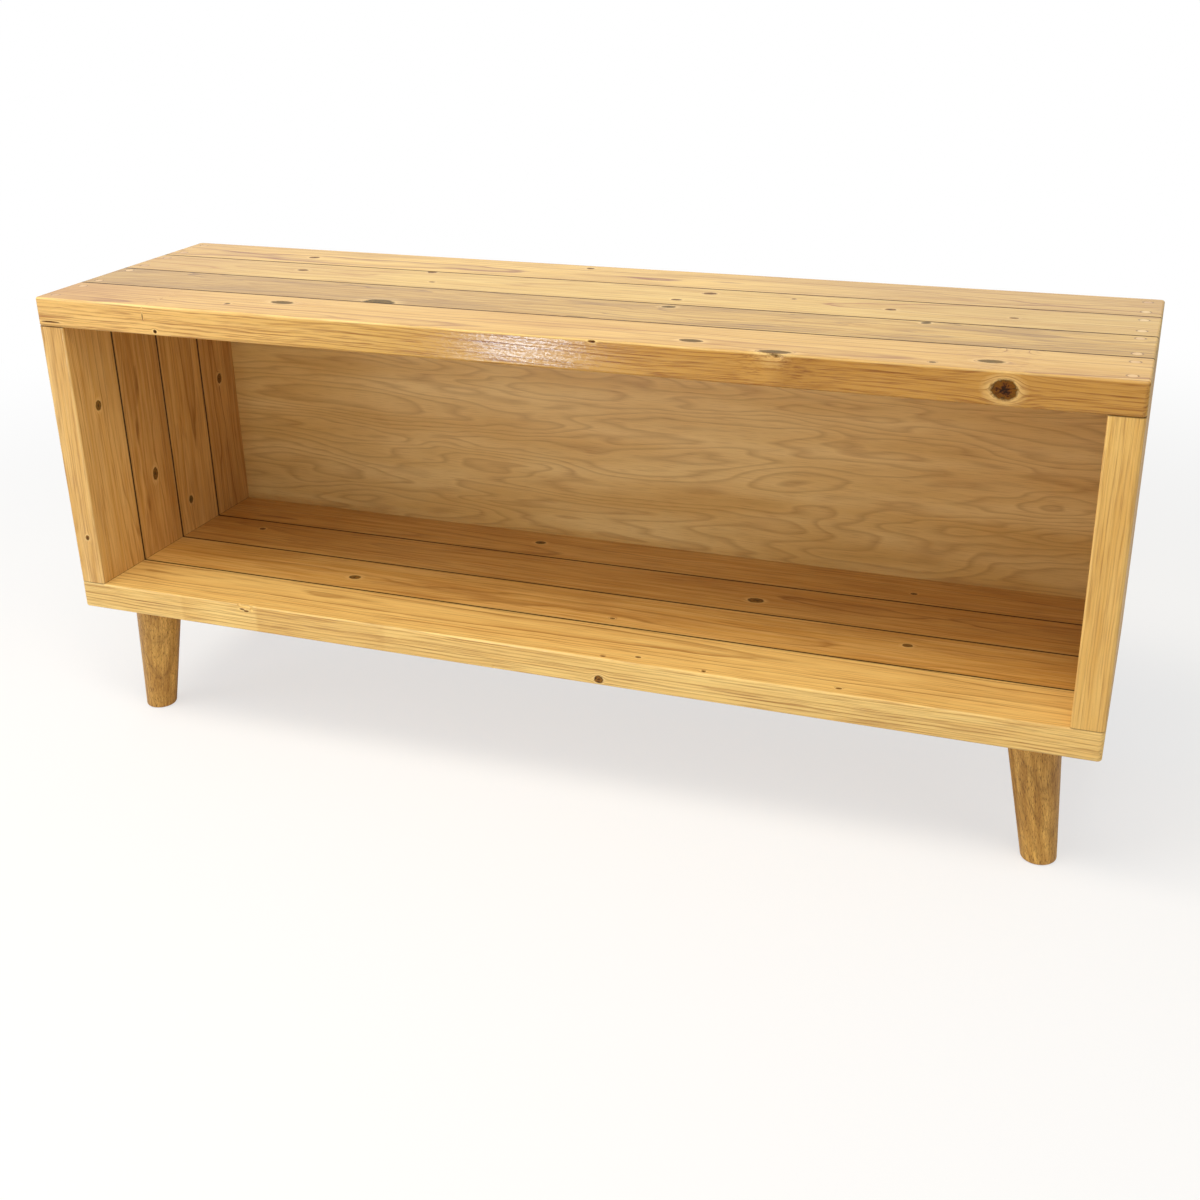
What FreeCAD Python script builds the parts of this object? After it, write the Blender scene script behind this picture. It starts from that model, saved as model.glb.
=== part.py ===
# Record cabinet on four splayed legs: a long open case of glued pine boards.
# Millimetres. The origin is on the floor under the middle of the case,
# +X runs along the case to the right, the open front faces -Y, +Z is up.
import FreeCAD, Part
import math
import os

from FreeCAD import Placement, Rotation, Vector

os.makedirs("parts", exist_ok=True)

# The case: boards glued edge to edge into four slabs
board_thickness = 35.0
board_width = 87.5
bay_length = 1200.0
bay_height = 335.0
floor_clearance = 160.0

# Roundings that planer, router and sanding block leave on the case
corner_round = 5.0
edge_round = 2.5
inner_edge_round = 2.5
joint_easing = 0.8

# Clearances that all pieces share
fit_clearance = 0.05
overrun = 5.0

# Back panel and the rebate that it lies in
panel_thickness = 9.0
rebate_lap = 12.0
rebate_corner_round = 10.0
panel_clearance = 1.0

# Dowels in the glued joints between boards
dowel_diameter = 8.0
dowel_length = 40.0
dowel_end_gap = 1.0
slab_dowels = 4
slab_dowel_gap = 46.0
side_dowel_gap = 39.0

# Long screws that tie top and bottom to the end grain of the sides
frame_screw_diameter = 4.2
frame_screw_head_diameter = 9.2
frame_screw_hole_diameter = 5.2
frame_screw_bite = 45.0
frame_screw_point = 4.0
plug_diameter = 10.0
plug_bore_depth = 10.0
plug_glue_gap = 0.3
top_screw_shares = ((0.21, 0.8), (0.16, 0.87), (0.24, 0.8), (0.24, 0.78))
bottom_screw_shares = ((0.5,), (0.5,), (0.5,), (0.5,))

# Small screws of the back panel
panel_screw_diameter = 3.5
panel_screw_head_diameter = 6.4
panel_screw_length = 25.0
panel_screw_point = 3.0
panel_screw_end_inset = 60.0
long_edge_panel_screws = 5
short_edge_panel_screws = 2

# Legs: turned, tapered and leaning outwards along the case
leg_splay = 7.0
leg_inset = 73.0
front_leg_setback = 55.0
rear_leg_setback = 38.0
leg_top_radius = 29.5
foot_radius = 19.5
leg_top_round = 2.0
foot_round = 3.5
leg_rim_gap = 1.4

# Pressed leg plates: a flat flange and a cone whose bottom faces the leg
plate_size = 62.0
plate_thickness = 2.0
plate_corner_round = 8.0
plate_rim = 9.0
plate_seat_land = 4.5
plate_screw_inset = 8.0
plate_screw_diameter = 4.0
plate_screw_head_diameter = 7.6
plate_screw_length = 20.0
plate_screw_point = 3.0

# Threaded bush in the plate and the double-ended bolt that the leg carries
bolt_diameter = 8.0
bolt_reach_up = 16.0
bolt_reach_down = 40.0
bolt_chamfer = 1.0
bolt_point = 5.0
bush_radius = 5.5
bush_length = 12.0
bush_collar_radius = 8.5
bush_collar_thickness = 2.0
recess_gap = 2.0

# Places that follow from the sizes above
board_names = ("front", "second", "third", "rear")
board_widths = (board_width,) * len(board_names)
depth = sum(board_widths)
half_depth = depth / 2
half_bay = bay_length / 2
half_length = half_bay + board_thickness
side_middle = half_bay + board_thickness / 2
underside = floor_clearance
bay_floor = underside + board_thickness
bay_ceiling = bay_floor + bay_height
top_surface = bay_ceiling + board_thickness
board_starts = [sum(board_widths[:n]) - half_depth for n in range(len(board_widths))]
joint_lines = board_starts[1:]
left, right = -1, 1
front, rear = -1, 1
sides = (("left", left), ("right", right))
rows = (("front", front), ("rear", rear))

up = Vector(0, 0, 1)
down = Vector(0, 0, -1)
forward = Vector(0, -1, 0)
backward = Vector(0, 1, 0)


# Helpers for shapes
def box_between(low, high):
    size = high - low
    return Part.makeBox(size.x, size.y, size.z, low)


def turned(outline, place=Placement()):
    """Solid of an outline of (radius, height) points and edges, turned about Z."""
    wire = Part.Wire(outline)
    solid = Part.Face(wire).revolve(Vector(), up, 360)
    solid.Placement = place
    return solid


def polyline(points):
    """Closed chain of straight edges through (radius, height) points."""
    corners = [Vector(radius, 0, height) for radius, height in points]
    ring = corners + corners[:1]
    return [Part.makeLine(ring[n], ring[n + 1]) for n in range(len(corners))]


def edges_along(shape, direction):
    """Straight edges of a shape that run in one direction."""
    found = []
    for edge in shape.Edges:
        if isinstance(edge.Curve, Part.Line) and edge.Curve.Direction.cross(direction).Length < 1e-6:
            found.append(edge)
    return found


def level_edges(shape):
    """Edges that lie flat in the top or bottom face of a slab."""
    return [edge for edge in shape.Edges if edge.BoundBox.ZLength < 1e-6]


def export(name, solids):
    """Write one sub-part, a single solid or a group of separate ones."""
    shape = Part.Compound(solids) if isinstance(solids, list) else solids
    if not shape.isValid():
        print("not a valid shape:", name)
    shape.exportStep("parts/" + name + ".step")


# Wood screws: countersunk head, plain shank and a point, threads left out
def screw_side(head_diameter, diameter, length, point, clearance):
    """Outline from the head's rim, at height zero, down to the screw's point."""
    head_radius = head_diameter / 2 + clearance
    radius = diameter / 2 + clearance
    return [
        (head_radius, 0),
        (radius, radius - head_radius),
        (radius, point - length),
        (0, -length),
    ]


def screw(place, head_diameter, diameter, length, point):
    side = screw_side(head_diameter, diameter, length, point, 0)
    return turned(polyline([(0, 0)] + side), place)


def screw_hole(place, head_diameter, diameter, length, point):
    """The screw's own form, a clearance larger and open above its head."""
    side = screw_side(head_diameter, diameter, length + fit_clearance, point, fit_clearance)
    head_radius = side[0][0]
    return turned(polyline([(0, overrun), (head_radius, overrun)] + side), place)


def pointing(place, direction):
    """Placement of a screw that is driven from a place in a direction."""
    return Placement(place, Rotation(down, direction))


# Slabs: a rounded blank, split at the glue lines into boards
def level_blank(low_z):
    """Blank of the top or the bottom, rounded on every outer arris."""
    low = Vector(-half_length, -half_depth, low_z)
    high = Vector(half_length, half_depth, low_z + board_thickness)
    blank = box_between(low, high)
    blank = blank.makeFillet(corner_round, edges_along(blank, up))
    return blank.makeFillet(edge_round, level_edges(blank))


def upright_blank(side):
    """Blank of a side between bottom and top, rounded on its four long arrises."""
    near, far = sorted((side * half_bay, side * half_length))
    blank = box_between(Vector(near, -half_depth, bay_floor), Vector(far, half_depth, bay_ceiling))
    outer = [e for e in edges_along(blank, up) if abs(e.CenterOfMass.x) > side_middle]
    blank = blank.makeFillet(corner_round, outer)
    inner = [e for e in edges_along(blank, up) if abs(e.CenterOfMass.x) < half_bay + fit_clearance]
    return blank.makeFillet(inner_edge_round, inner)


def vee(point, run, across, sink):
    """Three-sided cutter that eases a glue line along a straight run."""
    corners = [point - across, point + sink, point + across, point - across]
    return Part.Face(Part.makePolygon(corners)).extrude(run)


def level_vees(low_z):
    """Cutters along each glue line of a level slab, on its faces and its ends."""
    high_z = low_z + board_thickness
    across = backward * joint_easing
    along = Vector(2 * half_length, 0, 0)
    rise = Vector(0, 0, board_thickness)
    cutters = []
    for y in joint_lines:
        cutters.append(vee(Vector(-half_length, y, high_z), along, across, down * joint_easing))
        cutters.append(vee(Vector(-half_length, y, low_z), along, across, up * joint_easing))
        for side in (left, right):
            inward = Vector(-side * joint_easing, 0, 0)
            cutters.append(vee(Vector(side * half_length, y, low_z), rise, across, inward))
    return cutters


def upright_vees(side):
    """Cutters along each glue line of a side, on its outer and inner face."""
    across = backward * joint_easing
    rise = Vector(0, 0, bay_height)
    cutters = []
    for y in joint_lines:
        inward = Vector(-side * joint_easing, 0, 0)
        outward = Vector(side * joint_easing, 0, 0)
        cutters.append(vee(Vector(side * half_length, y, bay_floor), rise, across, inward))
        cutters.append(vee(Vector(side * half_bay, y, bay_floor), rise, across, outward))
    return cutters


def split_into_boards(slab, low_z, high_z):
    """Boards of a slab from front to rear."""
    boards = []
    for n in range(len(board_widths)):
        y = board_starts[n]
        outer_front = overrun if n == 0 else 0
        outer_rear = overrun if n == len(board_widths) - 1 else 0
        low = Vector(-half_length - overrun, y - outer_front, low_z - overrun)
        high = Vector(half_length + overrun, y + board_widths[n] + outer_rear, high_z + overrun)
        boards.append(slab.common(box_between(low, high)))
    return boards


# Dowels across the glue lines
def spread(first, last, count):
    """Evenly spaced values from first to last."""
    step = (last - first) / (count - 1)
    return [first + step * n for n in range(count)]


def dowel_at(point):
    start = point + forward * (dowel_length / 2)
    return Part.makeCylinder(dowel_diameter / 2, dowel_length, start, backward)


def dowel_hole_at(point):
    half = dowel_length / 2 + dowel_end_gap
    start = point + forward * half
    return Part.makeCylinder(dowel_diameter / 2 + fit_clearance, 2 * half, start, backward)


def slab_dowel_points(low_z):
    inset = leg_inset + plate_size / 2 + slab_dowel_gap
    reach = half_length - inset
    z = low_z + board_thickness / 2
    return [Vector(x, y, z) for y in joint_lines for x in spread(-reach, reach, slab_dowels)]


def side_dowel_points(side):
    inset = frame_screw_bite + side_dowel_gap
    heights = (bay_floor + inset, bay_ceiling - inset)
    return [Vector(side * side_middle, y, z) for y in joint_lines for z in heights]


# Screws between slabs and sides
def screw_points(shares, z):
    """Points over both sides, from each board's shares of its own width."""
    points = []
    for side in (left, right):
        for start, width, places in zip(board_starts, board_widths, shares):
            for share in places:
                points.append(Vector(side * side_middle, start + share * width, z))
    return points


top_screw_heads = screw_points(top_screw_shares, top_surface - plug_bore_depth)
bottom_screw_heads = screw_points(bottom_screw_shares, underside)
top_screw_length = board_thickness - plug_bore_depth + frame_screw_bite
bottom_screw_length = board_thickness + frame_screw_bite


def frame_screw(head, direction, length):
    return screw(
        pointing(head, direction),
        frame_screw_head_diameter,
        frame_screw_diameter,
        length,
        frame_screw_point,
    )


def frame_screw_hole(head, direction, length):
    """Countersunk hole through a slab that goes on as a pilot hole in a side."""
    through = length - frame_screw_bite
    pilot = screw_hole(
        pointing(head, direction),
        frame_screw_head_diameter,
        frame_screw_diameter,
        length,
        frame_screw_point,
    )
    shaft = Part.makeCylinder(frame_screw_hole_diameter / 2, through, head, direction)
    return [pilot, shaft]


def plug_at(head):
    height = plug_bore_depth - plug_glue_gap
    return Part.makeCylinder(plug_diameter / 2, height, head + up * plug_glue_gap, up)


def plug_bore_at(head):
    return Part.makeCylinder(plug_diameter / 2 + fit_clearance, plug_bore_depth + overrun, head, up)


# Back panel, its rebate and its screws
def rear_plate(growth, front_face, rear_face, corner):
    """Upright plate with round corners, as large as the bay plus a growth."""
    low = Vector(-half_bay - growth, front_face, bay_floor - growth)
    high = Vector(half_bay + growth, rear_face, bay_ceiling + growth)
    plate = box_between(low, high)
    return plate.makeFillet(corner, edges_along(plate, backward))


panel_front = half_depth - panel_thickness
rebate = rear_plate(rebate_lap, panel_front, half_depth + overrun, rebate_corner_round)
panel_growth = rebate_lap - panel_clearance
panel_corner = rebate_corner_round - panel_clearance


def panel_screw_heads():
    """Points on the panel's rear face, in the middle of the lap all round."""
    x_edge = half_bay + rebate_lap / 2
    z_low = bay_floor - rebate_lap / 2
    z_high = bay_ceiling + rebate_lap / 2
    points = []
    for x in spread(panel_screw_end_inset - x_edge, x_edge - panel_screw_end_inset, long_edge_panel_screws):
        points.append(Vector(x, half_depth, z_low))
        points.append(Vector(x, half_depth, z_high))
    for z in spread(z_low + panel_screw_end_inset, z_high - panel_screw_end_inset, short_edge_panel_screws):
        points.append(Vector(-x_edge, half_depth, z))
        points.append(Vector(x_edge, half_depth, z))
    return points


def panel_screw(head):
    return screw(
        pointing(head, forward),
        panel_screw_head_diameter,
        panel_screw_diameter,
        panel_screw_length,
        panel_screw_point,
    )


def panel_screw_hole(head):
    return screw_hole(
        pointing(head, forward),
        panel_screw_head_diameter,
        panel_screw_diameter,
        panel_screw_length,
        panel_screw_point,
    )


# Legs: the seat is the middle of a leg's sawn top, square to the leg's axis
plate_cone_radius = plate_size / 2 - plate_rim
plate_seat_radius = bush_collar_radius + plate_thickness + plate_seat_land
plate_screw_reach = plate_size / 2 - plate_screw_inset
splay = math.radians(leg_splay)
seat_drop = plate_thickness + leg_top_radius * math.sin(splay) + leg_rim_gap
seat_height = underside - seat_drop
leg_length = seat_height / math.cos(splay)
axis_x = half_length - leg_inset
axis_y = {front: front_leg_setback - half_depth, rear: half_depth - rear_leg_setback}


def leg_frame(side, row):
    """Placement whose +Z is the leg's axis, pointing up out of its seat."""
    seat = Vector(side * (axis_x + seat_drop * math.tan(splay)), axis_y[row], seat_height)
    return Placement(seat, Rotation(Vector(0, 1, 0), -side * leg_splay))


def leg_at(side, row):
    """Tapered leg with a rounded rim, cut level at the floor and bored for its bolt."""
    foot_lift = foot_radius * math.tan(splay) + overrun
    taper = (leg_top_radius - foot_radius) / leg_length
    tip_radius = foot_radius - taper * foot_lift
    leg = Part.makeCone(tip_radius, leg_top_radius, leg_length + foot_lift, Vector(0, 0, -leg_length - foot_lift))
    rim = [e for e in leg.Edges if e.BoundBox.ZLength < 1e-6 and abs(e.BoundBox.ZMin) < 1e-6]
    leg = leg.makeFillet(leg_top_round, rim)
    leg = leg.cut(bolt_shape(fit_clearance))
    leg.Placement = leg_frame(side, row)
    reach = 2 * leg_top_radius + leg_length
    centre = Vector(side * axis_x, axis_y[row], 0)
    floor = box_between(centre - Vector(reach, reach, reach), centre + Vector(reach, reach, 0))
    leg = leg.cut(floor)
    foot = [e for e in leg.Edges if abs(e.BoundBox.ZMin) < 1e-6 and abs(e.BoundBox.ZMax) < 1e-6]
    return leg.makeFillet(foot_round, foot)


def bolt_shape(clearance):
    """Double-ended bolt on the leg's axis: machine end up, pointed end down."""
    radius = bolt_diameter / 2 + clearance
    low = -bolt_reach_down - clearance
    outline = polyline([
        (0, bolt_reach_up),
        (radius - bolt_chamfer, bolt_reach_up),
        (radius, bolt_reach_up - bolt_chamfer),
        (radius, low + bolt_point),
        (0, low),
    ])
    return turned(outline)


def bush_shape():
    """Flanged bush pressed through the cone's bottom from above."""
    inner = bolt_diameter / 2 + fit_clearance
    collar_top = plate_thickness + bush_collar_thickness
    outline = polyline([
        (inner, 0),
        (bush_radius, 0),
        (bush_radius, plate_thickness),
        (bush_collar_radius, plate_thickness),
        (bush_collar_radius, collar_top),
        (bush_radius, collar_top),
        (bush_radius, bush_length),
        (inner, bush_length),
    ])
    return turned(outline)


def circle_wire(centre, axis, radius):
    return Part.Wire(Part.makeCircle(radius, centre, axis))


def plate_centre(side, row):
    return Vector(side * axis_x, axis_y[row], underside)


def plate_screw_heads(side, row):
    """Points on the plate's lower face, near its four corners."""
    reach = plate_screw_reach
    low = plate_centre(side, row) + down * plate_thickness
    return [low + Vector(dx * reach, dy * reach, 0) for dx in (-1, 1) for dy in (-1, 1)]


def plate_screw(head):
    return screw(
        pointing(head, up),
        plate_screw_head_diameter,
        plate_screw_diameter,
        plate_screw_length,
        plate_screw_point,
    )


def plate_screw_hole(head):
    return screw_hole(
        pointing(head, up),
        plate_screw_head_diameter,
        plate_screw_diameter,
        plate_screw_length,
        plate_screw_point,
    )


def plate_at(side, row):
    """Flange with a skewed cone pressed down to a seat square to the leg."""
    frame = leg_frame(side, row)
    axis = frame.Rotation.multVec(up)
    seat = frame.Base
    centre = plate_centre(side, row)
    half = plate_size / 2
    lower = centre + down * plate_thickness
    flange = box_between(lower - Vector(half, half, 0), centre + Vector(half, half, 0))
    flange = flange.makeFillet(plate_corner_round, edges_along(flange, up))
    outer = Part.makeLoft([
        circle_wire(lower, up, plate_cone_radius),
        circle_wire(seat, axis, plate_seat_radius),
    ], True, True)
    inner = Part.makeLoft([
        circle_wire(centre, up, plate_cone_radius - plate_thickness),
        circle_wire(seat + axis * plate_thickness, axis, plate_seat_radius - plate_thickness),
    ], True, True)
    bush_hole = Part.makeCylinder(
        bush_radius + fit_clearance,
        2 * overrun,
        seat - axis * overrun,
        axis,
    )
    holes = [plate_screw_hole(head) for head in plate_screw_heads(side, row)]
    plate = flange.fuse(outer).removeSplitter()
    return plate.cut([inner, bush_hole] + holes)


def leg_recess(side, row):
    """Blind hole in the underside that gives the bush and the bolt's end room."""
    frame = leg_frame(side, row)
    tip = frame.multVec(Vector(0, 0, bolt_reach_up))
    centre = plate_centre(side, row)
    radius = abs(tip.x - centre.x) + bush_radius + recess_gap
    radius = max(radius, bush_collar_radius + recess_gap)
    return Part.makeCylinder(radius, tip.z - centre.z + recess_gap + overrun, centre + down * overrun, up)


# Everything that is cut from the boards, slab by slab
legs = [(side_name, side, row_name, row) for row_name, row in rows for side_name, side in sides]
panel_heads = panel_screw_heads()
panel_holes = [panel_screw_hole(head) for head in panel_heads]
top_holes = [hole for head in top_screw_heads for hole in frame_screw_hole(head, down, top_screw_length)]
top_holes = top_holes + [plug_bore_at(head) for head in top_screw_heads]
bottom_holes = [hole for head in bottom_screw_heads for hole in frame_screw_hole(head, up, bottom_screw_length)]
leg_holes = [leg_recess(side, row) for _, side, _, row in legs]
for _, side, _, row in legs:
    leg_holes = leg_holes + [plate_screw_hole(head) for head in plate_screw_heads(side, row)]


def near(cutters, blank):
    """Only the cutters whose boxes meet a blank's box."""
    return [cutter for cutter in cutters if cutter.BoundBox.intersect(blank.BoundBox)]


def make_slab(name, blank, vees, cutters, dowel_points, low_z, high_z):
    """Cut one slab, split it and write its boards and its dowels."""
    slab = blank.cut(vees)
    slab = slab.cut([rebate] + near(cutters, blank) + [dowel_hole_at(point) for point in dowel_points])
    for board_name, board in zip(board_names, split_into_boards(slab, low_z, high_z)):
        export(name + "_board_" + board_name, board)
    export(name + "_dowels", [dowel_at(point) for point in dowel_points])


case_cutters = panel_holes + top_holes + bottom_holes + leg_holes
make_slab(
    "bottom",
    level_blank(underside),
    level_vees(underside),
    case_cutters,
    slab_dowel_points(underside),
    underside,
    bay_floor,
)
make_slab(
    "top",
    level_blank(bay_ceiling),
    level_vees(bay_ceiling),
    case_cutters,
    slab_dowel_points(bay_ceiling),
    bay_ceiling,
    top_surface,
)
for side_name, side in sides:
    make_slab(
        side_name + "_side",
        upright_blank(side),
        upright_vees(side),
        case_cutters,
        side_dowel_points(side),
        bay_floor,
        bay_ceiling,
    )

panel = rear_plate(panel_growth, panel_front, half_depth, panel_corner)
export("back_panel", panel.cut(panel_holes))
export("back_panel_screws", [panel_screw(head) for head in panel_heads])
export("top_screws", [frame_screw(head, down, top_screw_length) for head in top_screw_heads])
export("top_screw_plugs", [plug_at(head) for head in top_screw_heads])
export("bottom_screws", [frame_screw(head, up, bottom_screw_length) for head in bottom_screw_heads])

plate_screws = []
for side_name, side, row_name, row in legs:
    name = row_name + "_" + side_name + "_leg"
    frame = leg_frame(side, row)
    bolt = bolt_shape(0)
    bolt.Placement = frame
    bush = bush_shape()
    bush.Placement = frame
    export(name, leg_at(side, row))
    export(name + "_plate", plate_at(side, row))
    export(name + "_bolt", bolt)
    export(name + "_bush", bush)
    plate_screws = plate_screws + [plate_screw(head) for head in plate_screw_heads(side, row)]
export("leg_plate_screws", plate_screws)
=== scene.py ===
import functools
import math
import random

import bpy
from mathutils import Euler, Matrix, Vector


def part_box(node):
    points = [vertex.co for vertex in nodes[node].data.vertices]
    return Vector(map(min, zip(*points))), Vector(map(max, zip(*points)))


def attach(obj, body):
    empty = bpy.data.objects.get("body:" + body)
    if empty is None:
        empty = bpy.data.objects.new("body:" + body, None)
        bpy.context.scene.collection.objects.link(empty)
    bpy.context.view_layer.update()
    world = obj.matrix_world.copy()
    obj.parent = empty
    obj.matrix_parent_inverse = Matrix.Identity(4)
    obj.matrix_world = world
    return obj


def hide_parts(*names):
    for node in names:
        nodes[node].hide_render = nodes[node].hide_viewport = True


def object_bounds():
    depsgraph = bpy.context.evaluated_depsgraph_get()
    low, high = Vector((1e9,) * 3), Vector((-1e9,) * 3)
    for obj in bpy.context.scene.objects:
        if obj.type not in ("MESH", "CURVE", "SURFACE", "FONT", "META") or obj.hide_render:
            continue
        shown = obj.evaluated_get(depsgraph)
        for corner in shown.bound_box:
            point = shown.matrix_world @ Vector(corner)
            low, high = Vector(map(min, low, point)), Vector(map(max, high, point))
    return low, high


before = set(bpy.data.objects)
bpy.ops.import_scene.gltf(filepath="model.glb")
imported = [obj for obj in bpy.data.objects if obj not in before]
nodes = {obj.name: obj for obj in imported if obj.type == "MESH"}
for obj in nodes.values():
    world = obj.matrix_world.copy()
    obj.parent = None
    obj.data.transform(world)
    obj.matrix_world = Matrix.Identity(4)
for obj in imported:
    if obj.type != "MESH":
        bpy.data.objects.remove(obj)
cadLow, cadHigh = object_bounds()
bpy.ops.object.select_all(action="DESELECT")
print("frame loaded:", len(nodes), "nodes")

mm = 0.001
tiny = 1e-5  # metres within which two places are the same
endless = 1e6  # mm, the length of a shape that runs on for ever
caseEnd = round(cadHigh.x / mm)  # mm from the case's middle
level = (0, 0, 0)  # how a board's own millimetres are turned from the case
upright = (0, math.radians(90), 0)
rowNames = ("front", "second", "third", "rear")


# Nodes and colours
variants = {  # what the second word of a node's name sets
    "Math": "operation", "VectorMath": "operation", "Mix": "blend_type", "MapRange": "interpolation_type",
    "Mapping": "vector_type", "TexNoise": "noise_dimensions", "TexWhiteNoise": "noise_dimensions",
}


def linear(hexColour):
    # an sRGB hex colour as the linear one that a socket takes
    parts = [int(hexColour[n:n + 2], 16) / 255 for n in (1, 3, 5)]
    curved = [c / 12.92 if c <= 0.04045 else ((c + 0.055) / 1.055) ** 2.4 for c in parts]
    return tuple(curved + [1.0])


def addNode(tree, words, links=(), output=0, stops=(), **settings):
    # one node: what it is and does, its links by name or in its sockets' order, then its settings.
    # MapRange takes value, low, high, new low and new high, noise takes place, scale, detail and roughness,
    # and a ramp's stops are (place, colour)
    kind, _, variant = words.partition(" ")
    made = tree.nodes.new("ShaderNode" + kind)
    if kind == "Mix":
        made.data_type = "RGBA"
    if variant:
        settings[variants[kind]] = variant
    for name, value in settings.items():
        setattr(made, name, value)
    if stops:
        ramp = made.color_ramp.elements
        while len(ramp) < len(stops):
            ramp.new(0.5)
        for stop, (place, colour) in zip(ramp, stops):
            stop.position = place
            stop.color = linear(colour) if isinstance(colour, str) else (colour, colour, colour, 1)
    for name, value in links.items() if isinstance(links, dict) else enumerate(links):
        live = [s for s in made.inputs if s.enabled]
        socket = live[name] if isinstance(name, int) else [s for s in live if s.name == name][0]
        if isinstance(value, bpy.types.NodeSocket):
            tree.links.new(value, socket)
        else:
            socket.default_value = linear(value) if isinstance(value, str) else value
    live = [s for s in made.outputs if s.enabled]
    return live[output] if live else made


def emptied(owner):
    # clears the nodes of a material or a world and gives the function that adds new ones
    owner.use_nodes = True
    owner.node_tree.nodes.clear()
    return functools.partial(addNode, owner.node_tree)


def newMaterial(name):
    # an empty material, the function that adds its nodes, and the place in the case in metres
    material = bpy.data.materials.new(name)
    add = emptied(material)
    return material, add, add("TexCoord", output=3)


def perFeature(size):
    # scale of a pattern whose features have this size along and across a piece, for noise of scale 1
    return [1 / s for s in size]


# Solid wood: a growth time runs through each board, and its rings are that time's whole numbers
pine = {
    "ringLine": ((0.0, 0.25), (0.05, 0.0), (0.56, 0.05), (0.8, 0.32), (0.93, 1.0), (1.0, 0.25)),
    "unevenRings": 2.4, "everyFewYears": 0.31,  # how far ring widths stray, and how often
    "ringStrength": (0.3, 1.3),  # some years hardly show
    # sizes of patterns in mm, along the board and across it
    "bendSize": (300, 60, 60), "streakSize": (260, 6.5, 6.5),
    "fibreSize": (75, 1.7, 1.7),  # bundles of fibres, drawn a little coarse so that they show
    "mottleSize": (2.6 / 0.7, 2.6, 2.6),  # blotches inside a knot
    "cloudSize": (170, 30, 30),  # where the stain took more or less
    "rippleSize": (3.8, 1.6, 1.6),  # fibres that stand up under the lacquer
    "knotPull": 4.5,  # rings that bend round a knot
    "knotEdge": (0.9, 1.12), "haloEdge": (1.08, 1.9), "haloShare": 0.46,  # in radii of the knot
    "frontEdge": (1.5, 4.5),  # mm behind the front, where the face's look gives way to that of the levels
    "arrisWidth": 2.6, "halfThickness": 17.5,  # mm, sanded arrises took less stain and carry a painted highlight
    "seamFrom": 2.4, "seamTo": 0.7, "endShadowFrom": 1.0, "endShadowTo": 0.1,  # mm from a glue line, and from an upright's end for its painted shadow line
    "boreStain": (6.7, 4.9, endless),  # mm round a plug's middle
    "dryEnd": (3, 0.5),  # mm from the case's ends, which were lacquered once only
    # arris: the arrises' paler colour, partly stain worn thin and partly a painted highlight
    "arris": "#FFE49C", "halo": "#F2CE88", "joint": "#1C0F05", "fibre": "#9A6228", "veil": "#7C6834",
    "crack": "#180802", "bore": "#5A3516",
}
coat = {
    "relief": 0.08 * mm, "reliefShow": 0.4, "ringRelief": 0.6,  # rings stand up less than fibres
    "levelWeight": 0.42, "faceWeight": (0.22, 0.64), "levelRipple": 0.15, "faceRipple": 0.5,
    "woodRough": (0.36, 0.52), "woodShine": 0.12, "rough": 0.155,
}


def stemTime(point, board):
    # rings from the pith to a point of the board, in its own millimetres
    pith = Euler((0,) + board["tilt"]).to_matrix().transposed()
    place = pith @ (Vector(point) - Vector((0,) + board["pith"]))
    return math.hypot(place.y / board["ring"], place.z / (board["ring"] * board["oval"]))


def growKnots(add, board, spin, shift, midway, bent, time):
    # each knot is a branch with rings of its own, and the stem's rings and fibres flow round it
    fibrePlace, knotShape, cracks = bent, None, None
    for knot in board["knots"]:
        long, wide = knot["size"]
        at = spin @ Vector(knot["at"]) + shift
        axis = spin @ Vector([float(letter == knot["axis"]) for letter in "xyz"])
        run = max((1, 2), key=lambda n: abs(axis[n]))
        across = 3 - run
        outward = at - Vector((0,) + board["pith"])
        lean = math.atan2(outward[across], abs(outward[run]) + 20) * (1 if outward[run] > 0 else -1)
        lean = knot.get("lean", lean)
        radii = [long / 2, 0, 0]
        radii[run] = endless
        radii[across] = wide / 2 * math.cos(lean)
        mean = math.sqrt(long * wide) / 2
        ringsOut = mean / knot["growth"]
        away = add("Mapping TEXTURE", {
            "Vector": bent, "Location": at + midway, "Scale": radii,
            "Rotation": (-lean if run == 2 else lean, 0, 0)})
        reach = add("VectorMath LENGTH", [away])
        branch = add("Math MULTIPLY_ADD", [reach, ringsOut, stemTime(at, board) - ringsOut])
        time = add("Math SMOOTH_MIN", [time, branch, pine["knotPull"]])
        square = add("Math MULTIPLY", [reach, reach])
        square = add("Math MAXIMUM", [square, 0.6])
        push = add("Math DIVIDE", [mean, square])
        aside = add("VectorMath SCALE", [away, push])
        fibrePlace = add("VectorMath SUBTRACT", [fibrePlace, aside])
        knotShape = reach if knotShape is None else add("Math MINIMUM", [knotShape, reach])
        if "cracked" in knot:  # drying cracks run out from the heart and close before the rim
            ray = add("VectorMath NORMALIZE", [away])
            ray = add("TexNoise", [ray, 2.4, 3.0])
            ray = add("MapRange", [ray, 0.52, 0.6])
            gape = add("MapRange", [reach, 0.3, 1.0, knot["cracked"], 0.1])
            cracks = add("Math MULTIPLY", [ray, gape])
    return time, fibrePlace, knotShape, cracks


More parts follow.
